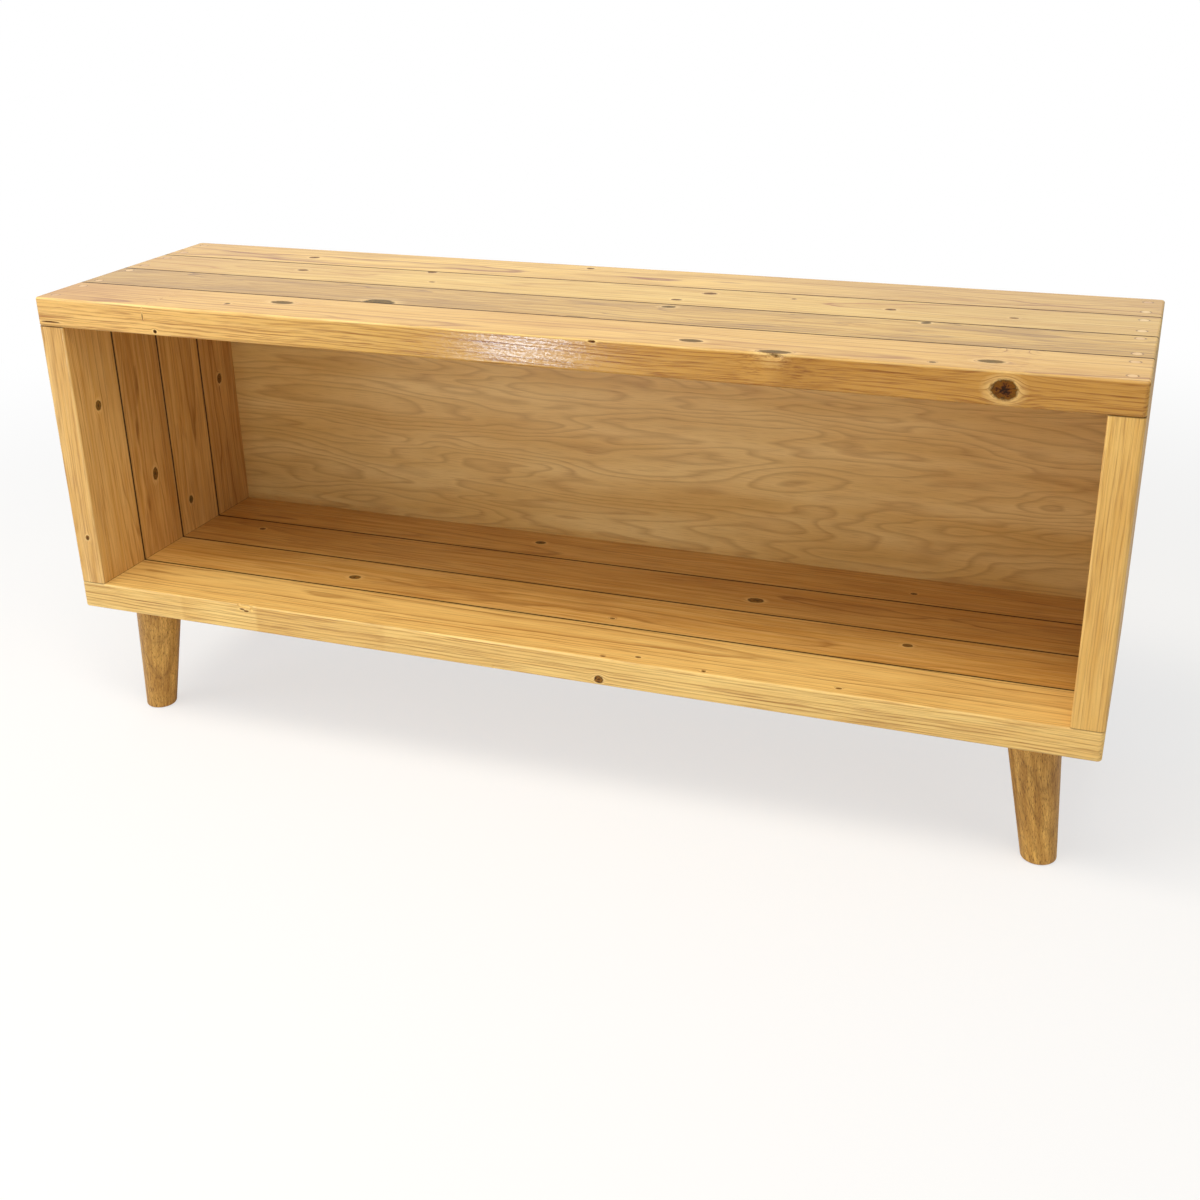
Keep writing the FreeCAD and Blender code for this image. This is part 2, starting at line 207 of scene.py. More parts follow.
def driftStain(add, board, colour, along, skin):
    # wood, or one surface of it, whose colour changes along the board, and faces darker in short lengths
    for drift in board["drifts"]:
        further = add("MapRange SMOOTHSTEP", [along, drift["from"], drift["to"], 0, drift["share"]])
        if drift["on"] != "all":
            slope, start = (1, 0) if drift["on"] == "face" else (-1, 1)
            surface = add("Math MULTIPLY_ADD", [skin, slope, start])
            further = add("Math MULTIPLY", [further, surface])
        colour = add("Mix", [further, colour, drift["colour"]])
    if "toneSteps" in board:
        length = add("MapRange", [along, -caseEnd, caseEnd])
        step = add("ValToRGB", [length], stops=board["toneSteps"])
        step = add("Math MULTIPLY", [step, skin])
        colour = add("Mix", [step, colour, board["stepColour"]])
    return colour


def paintKnots(add, board, colour, knotShape, blotch, core, cracks, skin):
    # knots in the level faces were sanded and bleached paler than those in the front edge
    mottled = add("Math MULTIPLY_ADD", [blotch, 2.0, knotShape])
    heart = add("ValToRGB", [mottled], stops=board["knotColours"])
    veil = add("MapRange", [skin, 0, 1, board["knotVeil"], 0.0])
    heart = add("Mix", [veil, heart, pine["veil"]])
    share = add("Math MULTIPLY", [core, 0.98])
    colour = add("Mix", [share, colour, heart])
    if cracks is not None:
        share = add("Math MULTIPLY", [core, cracks])
        colour = add("Mix", [share, colour, pine["crack"]])
    return colour


def rubArrisesAndPaintHighlight(add, board, colour, sides, cloud, core):
    # sanding wore the stain thin along the rounded arrises, and their paler colour is also a painted
    # highlight, set per board from one end to the other
    along, across, depth = sides
    outward = add("Math MULTIPLY", [across, -board["joint"]])
    nearSide = add("MapRange", [outward, board["halfWidth"] - pine["arrisWidth"], board["halfWidth"]])
    leftShare, rightShare = board["arrisWearAndHighlight"]
    wornAndLit = add("MapRange", [along, -caseEnd, caseEnd, leftShare, rightShare])
    nearLevel = add("MapRange", [
        depth, pine["halfThickness"] - pine["arrisWidth"], pine["halfThickness"], 0, wornAndLit])
    arrisWearAndHighlight = add("Math MULTIPLY", [nearSide, nearLevel])
    patchy = add("MapRange", [cloud, 0.35, 0.6, 0.5, 1.3])
    arrisWearAndHighlight = add("Math MULTIPLY", [arrisWearAndHighlight, patchy], use_clamp=True)
    arrisWearAndHighlight = add("MapRange", [core, 0, 1, arrisWearAndHighlight, 0.0])
    return add("Mix", [arrisWearAndHighlight, colour, pine["arris"]])


def stainBores(add, board, colour, place, across):
    # stain drawn into the end grain at both sides of each plug
    for y in board["plugs"]:
        mirrored = add("VectorMath ABSOLUTE", [place])
        hole = add("Mapping TEXTURE", {
            "Vector": mirrored, "Location": (board["plugReach"], abs(y), 0), "Scale": pine["boreStain"]})
        hole = add("VectorMath LENGTH", [hole])
        hole = add("MapRange", [hole, 0.8, 1.06, 0.75, 0.0])
        side = add("Math MULTIPLY", [across, 1 if y > 0 else -1])
        side = add("Math GREATER_THAN", [side, 0])
        hole = add("Math MULTIPLY", [hole, side])
        colour = add("Mix", [hole, colour, pine["bore"]])
    return colour


def lacquer(add, colour, place, fibre, ringShow, skin, dull):
    # relief under a thick clear coat that ripples a little
    relief = add("Math MULTIPLY_ADD", [ringShow, coat["ringRelief"], fibre])
    bumped = add("Bump", {"Strength": coat["reliefShow"], "Distance": coat["relief"], "Height": relief})
    ripple = add("Mapping", {"Vector": place, "Scale": perFeature(pine["rippleSize"])})
    ripple = add("TexNoise", [ripple, 1.0, 2.0])
    speckled = add("MapRange", [ripple, 0.44, 0.56, *coat["faceWeight"]])
    weight = add("MapRange", [skin, 0, 1, coat["levelWeight"], speckled])
    weight = add("MapRange", [dull, 0, 1, weight, 0.0])
    rippleShow = add("MapRange", [skin, 0, 1, coat["levelRipple"], coat["faceRipple"]])
    rippled = add("Bump", {
        "Strength": rippleShow, "Distance": coat["relief"], "Height": ripple, "Normal": bumped})
    rough = add("MapRange", [fibre, 0, 1, *coat["woodRough"]])
    shader = add("BsdfPrincipled", {
        "Base Color": colour, "Roughness": rough, "Normal": bumped, "Specular IOR Level": coat["woodShine"],
        "Coat Weight": weight, "Coat Roughness": coat["rough"], "Coat Normal": rippled})
    add("OutputMaterial", {"Surface": shader})


def makePine(name, centre, turn, board):
    # clear lacquered pine: honey wood with darker latewood lines under a thick gloss coat
    material, add, case = newMaterial(name)
    spin = Euler(turn).to_matrix()
    shift = -(spin @ Vector(centre))
    sway = Vector((1, 1, 1)) * board["bend"]

    # place in the board, bent slowly as the trunk grew
    place = add("Mapping", {
        "Vector": case, "Location": shift, "Rotation": turn, "Scale": (1000, 1000, 1000)})
    seed = board["seed"]
    slow = add("Mapping", {
        "Vector": place, "Location": (seed, seed * 2, 0), "Scale": perFeature(pine["bendSize"])})
    bend = add("TexNoise", [slow, 1.0, 4.0, 0.42], output=1)
    bent = add("VectorMath MULTIPLY_ADD", [bend, sway, place])

    # growth time, with wide years and narrow ones, and some that hardly show
    stem = add("Mapping TEXTURE", {
        "Vector": bent, "Location": Vector((0,) + board["pith"]) + sway / 2,
        "Rotation": (0,) + board["tilt"],
        "Scale": (endless, board["ring"], board["ring"] * board["oval"])})
    time = add("VectorMath LENGTH", [stem])
    time, fibrePlace, knotShape, cracks = growKnots(add, board, spin, shift, sway / 2, bent, time)
    years = add("Math MULTIPLY", [time, pine["everyFewYears"]])
    uneven = add("TexNoise 1D", [years, 1.0, 1.0])
    time = add("Math MULTIPLY_ADD", [uneven, pine["unevenRings"], time])
    ring = add("Math FRACT", [time])
    ringLine = add("ValToRGB", [ring], stops=pine["ringLine"])
    year = add("Math FLOOR", [time])
    strength = add("TexWhiteNoise 1D", {"W": year})
    strength = add("MapRange", [strength, 0, 1, *pine["ringStrength"]])

    # fibres, broad streaks and clouds, all drawn out along the grain
    fine = add("Mapping", {"Vector": fibrePlace, "Scale": perFeature(pine["fibreSize"])})
    fibre = add("TexNoise", [fine, 1.0, 2.0, 0.6])
    broad = add("Mapping", {
        "Vector": fibrePlace, "Location": (seed * 3, 0, 0), "Scale": perFeature(pine["streakSize"])})
    streak = add("TexNoise", [broad, 1.0, 3.0, 0.55])
    soft = add("Mapping", {
        "Vector": fibrePlace, "Location": (seed * 5, 3, 7), "Scale": perFeature(pine["cloudSize"])})
    cloud = add("TexNoise", [soft, 1.0, 3.0, 0.5])

    # colour, from the palest wood to the darkest mark
    sides = [add("SeparateXYZ", [place], n) for n in range(3)]
    along, across, depth = sides
    ringShow = add("Math MULTIPLY", [ringLine, strength])
    fade = add("MapRange", [cloud, 0.34, 0.56, 0.55, 1.0])
    ringShow = add("Math MULTIPLY", [ringShow, fade])
    ringShow = add("Math MULTIPLY", [ringShow, board["contrast"]])
    tone = add("MapRange", [streak, 0.38, 0.64])
    pale, mid, deep, late = board["wood"]
    colour = add("Mix", [tone, pale, mid])
    shade = add("MapRange", [cloud, 0.48, 0.68, 0, board["cloud"]])
    colour = add("Mix", [shade, colour, deep])
    skin = 0.0
    if board["joint"] == 1:  # the front face, apart from the level surfaces that were rubbed smoother
        near, far = pine["frontEdge"]
        skin = add("MapRange", [across, near - board["halfWidth"], far - board["halfWidth"], 1.0, 0.0])
    colour = driftStain(add, board, colour, along, skin)
    core = 0.0
    if knotShape is not None:
        blotch = add("Mapping", {"Vector": place, "Scale": perFeature(pine["mottleSize"])})
        blotch = add("TexNoise", [blotch, 1.0, 3.0, 0.6])
        blotch = add("Math SUBTRACT", [blotch, 0.5])
        rim = add("Math MULTIPLY_ADD", [blotch, 0.5, knotShape])
        core = add("MapRange", [rim, *pine["knotEdge"], 1.0, 0.0])
        halo = add("MapRange", [rim, *pine["haloEdge"], pine["haloShare"], 0.0])
        colour = add("Mix", [halo, colour, pine["halo"]])
    colour = add("Mix", [ringShow, colour, late])
    grain = add("MapRange", [skin, 0, 1, 0.45, board["grain"]])
    grainy = add("MapRange", [fibre, 0.48, 0.74, 0, grain])
    colour = add("Mix MULTIPLY", [grainy, colour, pine["fibre"]])
    if knotShape is not None:
        colour = paintKnots(add, board, colour, knotShape, blotch, core, cracks, skin)
    if board["joint"] != "both":
        if turn == upright:
            sides[2] = add("Math ABSOLUTE", [depth])
        colour = rubArrisesAndPaintHighlight(add, board, colour, sides, cloud, core)
    colour = stainBores(add, board, colour, place, across)

    # stain that gathers in the eased glue lines, and a painted shadow where an upright's end meets a slab
    if board["joint"] == "both":
        seam = add("Math ABSOLUTE", [across])
    else:
        seam = add("Math MULTIPLY", [across, board["joint"]])
    edge = board["halfWidth"]
    seam = add("MapRange", [seam, edge - pine["seamFrom"], edge - pine["seamTo"], 0, 0.95])
    colour = add("Mix", [seam, colour, pine["joint"]])
    # a dark line painted as the shadow in the crease where an upright's end meets a slab
    if "ends" in board:
        endShadow = add("Math ABSOLUTE", [along])
        endShadow = add("MapRange", [endShadow, board["ends"] - pine["endShadowFrom"], board["ends"] - pine["endShadowTo"], 0, 0.6])
        colour = add("Mix", [endShadow, colour, pine["joint"]])

    # knots, glue lines and the case's ends shine less
    dull = add("Math MAXIMUM", [core, seam])
    outer = add("SeparateXYZ", [case])
    outer = add("Math ABSOLUTE", [outer])
    outer = add("MapRange", [outer, *[(caseEnd - n) * mm for n in pine["dryEnd"]], 0, 0.8])
    dull = add("Math MAXIMUM", [dull, outer])
    lacquer(add, colour, place, fibre, ringShow, skin, dull)
    return material


brownKnots = ((0.0, "#2C1404"), (0.25, "#5C3610"), (0.5, "#8E5E22"), (0.75, "#744816"), (1.0, "#3C2006"))
greyKnots = ((0.0, "#2E1F0C"), (0.3, "#57431C"), (0.6, "#6E5526"), (0.85, "#483414"), (1.0, "#2A1A08"))
darkKnots = ((0.0, "#120300"), (0.3, "#341202"), (0.58, "#744006"), (0.8, "#6C4206"), (1.0, "#4A2E0C"))


def knotAt(x, y, z, long, wide, axis="z", growth=1.6, **more):
    # its place in the case and its size in mm, its branch's axis, and how many mm that grew in a year
    return {"at": (x, y, z), "size": (long, wide), "axis": axis, "growth": growth, **more}


def faceKnot(x, z, long, wide, growth, **more):
    # a knot in the case's front, whose branch comes straight out
    return knotAt(x, round(cadLow.y / mm), z, long, wide, "y", growth, lean=0, **more)


# what a board has unless its own row says otherwise; its wood is pale, middle, deep and latewood colours
plainBoard = {
    "bend": 17,  # mm, how far the grain strays
    "cloud": 0.5, "oval": 1.0, "grain": 0.75, "knotColours": brownKnots, "knotVeil": 0.25,
    # the arris shares at the left and right ends are partly stain worn thin and partly a painted highlight
    "arrisWearAndHighlight": (0.6, 0.6), "drifts": (), "plugs": (),
}
topBoards = {
    "front": {
        "wood": ("#E0B763", "#D5A850", "#C89643", "#9C6828"), "contrast": 0.9,
        # its upper front arris carries a painted highlight, brightest at the left end
        "bend": 13, "arrisWearAndHighlight": (1.2, 0.45), "knotVeil": 0.62,
        "seed": 3.1, "pith": (-26.0, -44.0), "tilt": (0.012, 0.02), "ring": 3.9, "oval": 1.1,
        "knotColours": darkKnots,
        "drifts": [
            {"from": 0, "to": -500, "share": 0.4, "colour": "#F6C480", "on": "face"},
            {"from": -560, "to": 360, "share": 0.84, "colour": "#BC863A", "on": "face"},
            {"from": -380, "to": -650, "share": 0.6, "colour": "#B4823E", "on": "level"},
        ],
        "stepColour": "#8E5A14", "toneSteps": (
            (0.0, 0.0), (0.712, 0.0), (0.727, 0.42), (0.78, 0.12), (1.0, 0.06)),
        "knots": [
            knotAt(-328, -114, 565, 29, 14), knotAt(-389, -138, 565, 7, 6), knotAt(181, -150, 565, 25, 13),
            knotAt(433, -163, 565, 7, 6), knotAt(486, -144, 565, 26, 13),
            knotAt(276, -167.8, 565, 34, 13, lean=-0.3), knotAt(79, -173.6, 565, 9, 4.4, lean=-0.9),
            faceKnot(505, 545, 26, 20, 2.6, cracked=0.6), faceKnot(-467, 535, 5, 4, 1.0),
            faceKnot(-482, 551, 1.4, 9, 0.8), faceKnot(-614, 536, 24, 1.6, 0.8),
        ]},
    "second": {
        "wood": ("#DCB55C", "#C89C40", "#AC8438", "#7E5820"), "contrast": 0.95,
        "bend": 34, "cloud": 0.7, "seed": 8.7, "pith": (20.0, -48.0), "tilt": (0.01, -0.015), "ring": 3.3,
        "drifts": [{"from": 520, "to": -560, "share": 0.48, "colour": "#A27C3C", "on": "all"}],
        "knotColours": greyKnots,
        "knots": [
            knotAt(-220, -82, 565, 37, 24, growth=2.6), knotAt(113, -8, 565, 17, 11),
            knotAt(397, -9, 565, 10, 7), knotAt(28, -85, 565, 30, 2.6, growth=1.0),
        ]},
    "third": {
        "wood": ("#E5C36C", "#D8B054", "#C89A40", "#A66C22"), "contrast": 0.95,
        "seed": 14.3, "pith": (10.0, -56.0), "tilt": (-0.01, 0.012), "ring": 4.2, "oval": 0.9,
        "drifts": [
            {"from": -260, "to": -640, "share": 0.45, "colour": "#B4823E", "on": "all"},
            {"from": 260, "to": 460, "share": 0.18, "colour": "#B4884A", "on": "all"},
        ],
        "knots": [
            knotAt(-400, 50, 565, 15, 10), knotAt(-210, 33, 565, 8, 6), knotAt(-235, 84, 565, 12, 9),
            knotAt(109, 22, 565, 13, 8), knotAt(137, 65, 565, 16, 11), knotAt(236, 66, 565, 6, 5),
            knotAt(351, 46, 565, 13, 9), knotAt(487, 43, 565, 10, 7),
        ]},
    "rear": {
        "wood": ("#EEC86C", "#DCB052", "#C29644", "#945E22"), "contrast": 1.0,
        "cloud": 0.55, "seed": 21.9, "pith": (-14.0, -44.0), "tilt": (0.008, -0.01), "ring": 3.6,
        "drifts": [
            {"from": -340, "to": -640, "share": 0.35, "colour": "#B4823E", "on": "all"},
            {"from": 60, "to": 300, "share": 0.34, "colour": "#B4884A", "on": "all"},
        ],
        "knots": [knotAt(-427, 125, 565, 14, 9), knotAt(-48, 158, 565, 11, 8)]},
}
bottomBoards = {
    "front": {
        "wood": ("#EFCC7E", "#E7BE70", "#D6AA5E", "#9C6628"), "contrast": 0.9,
        "bend": 9, "grain": 0.6, "cloud": 0.35,
        "drifts": [{"from": 60, "to": 460, "share": 0.08, "colour": "#C89C58", "on": "face"}],
        "stepColour": "#D4A65A", "toneSteps": (
            (0.0, 0.2), (0.118, 0.2), (0.12, 0.6), (0.16, 0.0),
            (0.203, 0.0), (0.205, 0.7), (0.345, 0.3), (0.347, 0.0)),
        "seed": 31.4, "pith": (14.0, -76.0), "tilt": (0.003, -0.003), "ring": 2.9, "oval": 1.1,
        "knots": [
            faceKnot(82, 168, 11, 10, 1.8), faceKnot(-395, 188.8, 7, 2.0, 0.8),
            faceKnot(-389, 186.8, 8, 2.4, 0.8),
            knotAt(85, -169, 195, 6, 3), knotAt(124, -159, 195, 7, 4), knotAt(204, -170, 195, 5, 4),
            knotAt(355, -162, 195, 7, 4),
        ]},
    "second": {
        "wood": ("#E0B46A", "#D2A050", "#BE883E", "#A06A2C"), "contrast": 0.7,
        "seed": 37.2, "pith": (-12.0, -46.0), "tilt": (0.009, 0.012), "ring": 3.8,
        "knots": [knotAt(-302, -52, 195, 16, 11), knotAt(410, -30, 195, 12, 8), knotAt(60, -70, 195, 7, 5)]},
    "third": {
        "wood": ("#DDB066", "#CE9A4E", "#B8823E", "#9A6630"), "contrast": 0.75,
        "seed": 43.8, "pith": (16.0, -52.0), "tilt": (-0.012, -0.01), "ring": 3.5,
        "knots": [knotAt(205, 38, 195, 20, 13, growth=2.2), knotAt(-512, 60, 195, 9, 7)]},
    "rear": {
        "wood": ("#E2B870", "#D4A458", "#C08C46", "#A06C34"), "contrast": 0.7,
        "cloud": 0.45, "seed": 49.5, "pith": (-22.0, -45.0), "tilt": (0.01, 0.014), "ring": 3.7,
        "knotColours": greyKnots,
        "knots": [knotAt(-120, 132, 195, 15, 10), knotAt(388, 118, 195, 8, 6)]},
}
leftBoards = {
    "front": {
        "wood": ("#E6BC75", "#DAAB60", "#C49046", "#9C6626"), "contrast": 0.65,
        "arrisWearAndHighlight": (0.3, 0.3), "grain": 0.5,
        "cloud": 0.55, "seed": 55.1, "pith": (34.0, 40.0), "tilt": (0.01, -0.02), "ring": 3.2, "oval": 1.2,
        "knots": [faceKnot(-615, 257, 7, 6, 1.2), knotAt(-600, -132, 420, 13, 10, "x")]},
    "second": {
        "wood": ("#DCAE68", "#CA9850", "#B27E3C", "#94622C"), "contrast": 0.8,
        "seed": 61.7, "pith": (-14.0, 46.0), "tilt": (-0.02, 0.02), "ring": 3.6,
        "knots": [knotAt(-600, -40, 300, 17, 12, "x", 2.0)]},
    "third": {
        "wood": ("#E4BA74", "#D6A65C", "#C08E46", "#A27034"), "contrast": 0.75,
        "cloud": 0.45, "seed": 67.3, "pith": (12.0, 50.0), "tilt": (0.02, 0.01), "ring": 3.9,
        "knotColours": greyKnots,
        "knots": [knotAt(-600, 52, 470, 9, 7, "x"), knotAt(-600, 30, 238, 11, 8, "x")]},
    "rear": {
        "wood": ("#DCB06C", "#CA9A54", "#B48040", "#966430"), "contrast": 0.8,
        "seed": 73.9, "pith": (-20.0, 44.0), "tilt": (-0.01, -0.02), "ring": 3.4,
        "knots": [knotAt(-600, 128, 385, 14, 10, "x", 1.8)]},
}
rightBoards = {
    "front": {
        "wood": ("#E4B868", "#DEAE5C", "#D09C48", "#A87028"), "contrast": 0.5,
        "arrisWearAndHighlight": (0.35, 0.35), "grain": 0.5,
        "cloud": 0.4, "seed": 79.2, "pith": (-38.0, -40.0), "tilt": (0.006, 0.008), "ring": 2.8, "oval": 1.2,
        "knots": []},
    "second": {
        "wood": ("#E2B86E", "#D2A254", "#BC8A42", "#9E6C32"), "contrast": 0.75,
        "seed": 85.6, "pith": (12.0, -48.0), "tilt": (0.02, -0.02), "ring": 3.7,
        "knots": [knotAt(600, -52, 352, 15, 11, "x", 1.8), knotAt(600, -20, 482, 7, 5, "x")]},
    "third": {
        "wood": ("#DAAC68", "#C89650", "#B07C3E", "#92602C"), "contrast": 0.8,
        "seed": 91.3, "pith": (-16.0, -50.0), "tilt": (-0.02, 0.01), "ring": 3.5,
        "knotColours": greyKnots,
        "knots": [knotAt(600, 44, 268, 18, 12, "x", 2.2)]},
    "rear": {
        "wood": ("#E4BC76", "#D4A65E", "#BE8E48", "#A07036"), "contrast": 0.7,
        "cloud": 0.45, "seed": 97.8, "pith": (18.0, -44.0), "tilt": (0.015, 0.02), "ring": 3.8,
        "knots": [knotAt(600, 120, 440, 10, 8, "x")]},
}


# Mesh work, as by hand: what passes a test is picked, then an operator shapes it
def activate(piece):
    bpy.ops.object.select_all(action="DESELECT")
    bpy.context.view_layer.objects.active = piece
    piece.select_set(True)


def pick(piece, kind, test):
    # leaves the piece in edit mode with only what passes the test selected
    activate(piece)
    bpy.ops.object.mode_set(mode="EDIT")
    bpy.ops.mesh.select_mode(type=kind)
    bpy.ops.mesh.select_all(action="DESELECT")
    bpy.ops.object.mode_set(mode="OBJECT")
    mesh = piece.data
    places = [v.co for v in mesh.vertices]
    if kind == "VERT":
        for vertex in mesh.vertices:
            vertex.select = test(vertex.co)
    elif kind == "EDGE":
        for edge in mesh.edges:
            edge.select = test(places[edge.vertices[0]], places[edge.vertices[1]])
    else:
        for face in mesh.polygons:
            face.select = test(face.center, face.normal)
    bpy.ops.object.mode_set(mode="EDIT")


def shape(piece, kind, test, *steps):
    # picks, then runs operators on what is picked, each as (operator, its settings)
    pick(piece, kind, test)
    for operator, settings in steps:
        operator(**settings)
    bpy.ops.object.mode_set(mode="OBJECT")


def bevel(piece, test, offset, segments=1):
    shape(piece, "EDGE", test, (bpy.ops.mesh.bevel, {"offset": offset, "segments": segments}))


def divide(piece, test, cuts):
    shape(piece, "EDGE", test, (bpy.ops.mesh.subdivide, {"number_cuts": cuts}))


def roughen(piece, test, offset, seed):
    shape(piece, "VERT", test, (bpy.ops.transform.vertex_random, {"offset": offset, "seed": seed}))


def close(a, b):
    return abs(a - b) < tiny


def named(piece, name):
    piece.name = name
    piece.data.name = name
    return piece


def placed(name):
    # names the primitive that was just added and puts its place into its mesh
    bpy.ops.object.transform_apply()
    return named(bpy.context.object, name)


def copyOf(piece):
    # a copy with a mesh of its own
    copy = piece.copy()
    copy.data = piece.data.copy()
    bpy.context.scene.collection.objects.link(copy)
    activate(copy)
    return copy


def modify(piece, kind, **settings):
    # adds a modifier and applies it
    modifier = piece.modifiers.new(kind, kind)
    for name, value in settings.items():
        setattr(modifier, name, value)
    activate(piece)
    bpy.ops.object.modifier_apply(modifier=modifier.name)


def startBox(name, low, high):
    bpy.ops.object.select_all(action="DESELECT")
    bpy.ops.mesh.primitive_cube_add(size=1, location=(low + high) / 2, scale=high - low)
    return placed(name)


def startRod(name, start, end, radius, endRadius=None, sides=32):
    # a cone or a straight rod between two points
    run = end - start
    turn = run.to_track_quat("Z", "Y").to_euler()
    bpy.ops.object.select_all(action="DESELECT")
    bpy.ops.mesh.primitive_cone_add(
        vertices=sides, radius1=radius, radius2=radius if endRadius is None else endRadius,
        depth=run.length, location=(start + end) / 2, rotation=turn)
    return placed(name)


def joined(pieces, name):
    bpy.ops.object.select_all(action="DESELECT")
    for piece in pieces:
        piece.select_set(True)
    bpy.context.view_layer.objects.active = pieces[0]
    if len(pieces) > 1:
        bpy.ops.object.join()
    return named(pieces[0], name)


def carve(piece, cutters):
    # takes every cutter out of the piece and deletes it
    if cutters:
        cutter = joined(cutters, "cutter")
        modify(piece, "BOOLEAN", object=cutter, solver="EXACT")
        bpy.data.objects.remove(cutter)


def paint(piece, material):
    piece.data.materials.clear()
    piece.data.materials.append(material)


def finishPiece(piece, material, replaced, angle=40):
    activate(piece)
    bpy.ops.object.shade_smooth_by_angle(angle=math.radians(angle), keep_sharp_edges=False)
    modify(piece, "WEIGHTED_NORMAL", keep_sharp=True)
    paint(piece, material)
    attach(piece, "root")
    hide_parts(*replaced)


def solidBoxes(node):
    # corners of each loose solid of a CAD node, read from a copy
    copyOf(nodes[node])
    bpy.ops.object.mode_set(mode="EDIT")
    bpy.ops.mesh.select_all(action="SELECT")
    bpy.ops.mesh.remove_doubles(threshold=tiny)
    bpy.ops.mesh.separate(type="LOOSE")
    bpy.ops.object.mode_set(mode="OBJECT")
    boxes = []
    for part in list(bpy.context.selected_objects):
        corners = [v.co for v in part.data.vertices]
        boxes.append((
            Vector([min(c[n] for c in corners) for n in range(3)]),
            Vector([max(c[n] for c in corners) for n in range(3)])))
        bpy.data.objects.remove(part)
    return sorted(boxes, key=lambda box: tuple(box[0]))


def middle(box):
    return (box[0] + box[1]) / 2


# Fastenings tell where the boards are bored
fasteners = {
    "clearance": 0.05 * mm, "dowelEndGap": 1 * mm, "panelGap": 1 * mm,
    "rebateRound": 10 * mm, "rebateSteps": 8,
    "reach": 3 * mm, "seatReach": 1 * mm,  # how far cutters stand out of the wood
    "seatTip": 0.2 * mm, "dowelSides": 20, "plugSides": 40,
}
slabNames = ("top", "bottom", "left_side", "right_side")
legNames = [(rowName, sideName) for rowName in ("front", "rear") for sideName in ("left", "right")]
screwNodes = ("top_screws", "bottom_screws", "back_panel_screws", "leg_plate_screws")
solids = {
    name: solidBoxes(name) for name in (*[n + "_dowels" for n in slabNames], "top_screw_plugs", *screwNodes)}
plugBoxes = solids["top_screw_plugs"]
panelLow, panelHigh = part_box("back_panel")
print("fastenings found:", sum(len(solids[n + "_dowels"]) for n in slabNames), "dowels,",
      len(plugBoxes), "plugs")


def overlaps(box, low, high):
    return all(box[0][n] < high[n] and box[1][n] > low[n] for n in range(3))


def rebateCutter():
    gap = Vector((fasteners["panelGap"], 0, fasteners["panelGap"]))
    high = panelHigh + gap + Vector((0, fasteners["reach"], 0))
    cutter = startBox("rebate", panelLow - gap, high)
    bevel(cutter, lambda a, b: close(a.x, b.x) and close(a.z, b.z), fasteners["rebateRound"],
          fasteners["rebateSteps"])
    return cutter


def seatCutter(face, inward, radius, sides):
    # a countersink for a flat head: its cone starts outside the wood
    start = face - inward * fasteners["seatReach"]
    return startRod(
        "seat", start, face + inward * radius, radius + fasteners["seatReach"], fasteners["seatTip"], sides)


def boresFor(slabName, low, high):
    # cutters for the dowels, screws and plugs that reach into one board
    def inBoard(boxes):
        # box, middle and radius of each hole
        return [(box, middle(box), (box[1].x - box[0].x) / 2 + fasteners["clearance"])
                for box in boxes if overlaps(box, low, high)]

    cutters = []
    for box, at, radius in inBoard(solids[slabName + "_dowels"]):
        along = Vector((0, (box[1].y - box[0].y) / 2 + fasteners["dowelEndGap"], 0))
        cutters.append(startRod("bore", at - along, at + along, radius, sides=fasteners["dowelSides"]))
    if slabName == "top":
        for box, at, radius in inBoard(plugBoxes):
            seat = Vector((at.x, at.y, box[0].z))
            rim = Vector((at.x, at.y, box[1].z + fasteners["reach"]))
            cutters.append(startRod("bore", seat, rim, radius, sides=fasteners["plugSides"]))
    if slabName == "bottom":
        for box, at, radius in inBoard(solids["bottom_screws"]):
            face = Vector((at.x, at.y, box[0].z))
            cutters.append(seatCutter(face, Vector((0, 0, 1)), radius, fasteners["plugSides"]))
    return cutters


# Marks that use has left: each one's place and half its size in mm
marks = [
    {"at": (79, -175.6, 564.6), "size": (5.0, 2.2, 2.6)},
    {"at": (278, -178.2, 562.0), "size": (13.5, 4.9, 5.2)},
    {"at": (-467, -176.0, 535), "size": (2.2, 3.6, 1.9)},
    {"at": (-398, -174.8, 195.2), "size": (3.4, 2.6, 2.2)},
    {"at": (-389, -176.4, 193.6), "size": (9.0, 3.4, 3.4)},
    {"at": (-380.5, -175.8, 191.0), "size": (2.6, 2.6, 4.6)},
    {"at": (-585, -177.8, 529.4), "size": (5.0, 3.6, 2.6)},
    {"at": (555, -177.2, 197.0), "size": (6.0, 3.4, 2.4)},
    {"at": (-52, -177.2, 163.0), "size": (4.0, 3.0, 2.2)},
]
tornBy = 2.2 * mm
torn = bpy.data.textures.new("torn", "CLOUDS")
torn.noise_scale = 4 * mm


def marksFor(low, high):
    # cutters for the marks on one board: balls pushed out of shape
    cutters = []
    for mark in marks:
        at = Vector(mark["at"]) * mm
        size = Vector(mark["size"]) * mm
        if overlaps((at - size, at + size), low, high):
            bpy.ops.object.select_all(action="DESELECT")
            bpy.ops.mesh.primitive_ico_sphere_add(subdivisions=3, radius=1, location=at, scale=size)
            cutter = placed("mark")
            modify(cutter, "DISPLACE", texture=torn, texture_coords="LOCAL", strength=tornBy)
            cutters.append(cutter)
    return cutters


def jointsOf(row, low, high):
    # where a board meets its neighbours
    return [y for y, has in ((low.y, row != "front"), (high.y, row != "rear")) if has]


# Boards of the top and the bottom
slab = {
    "cornerRound": 5 * mm, "edgeRound": 2.5 * mm, "jointEasing": 0.8 * mm,
    "cornerSteps": 6, "edgeSteps": 4, "lengths": 110, "wobble": 0.2 * mm, "wobbleFrom": 0.3 * mm, "seed": 3,
}


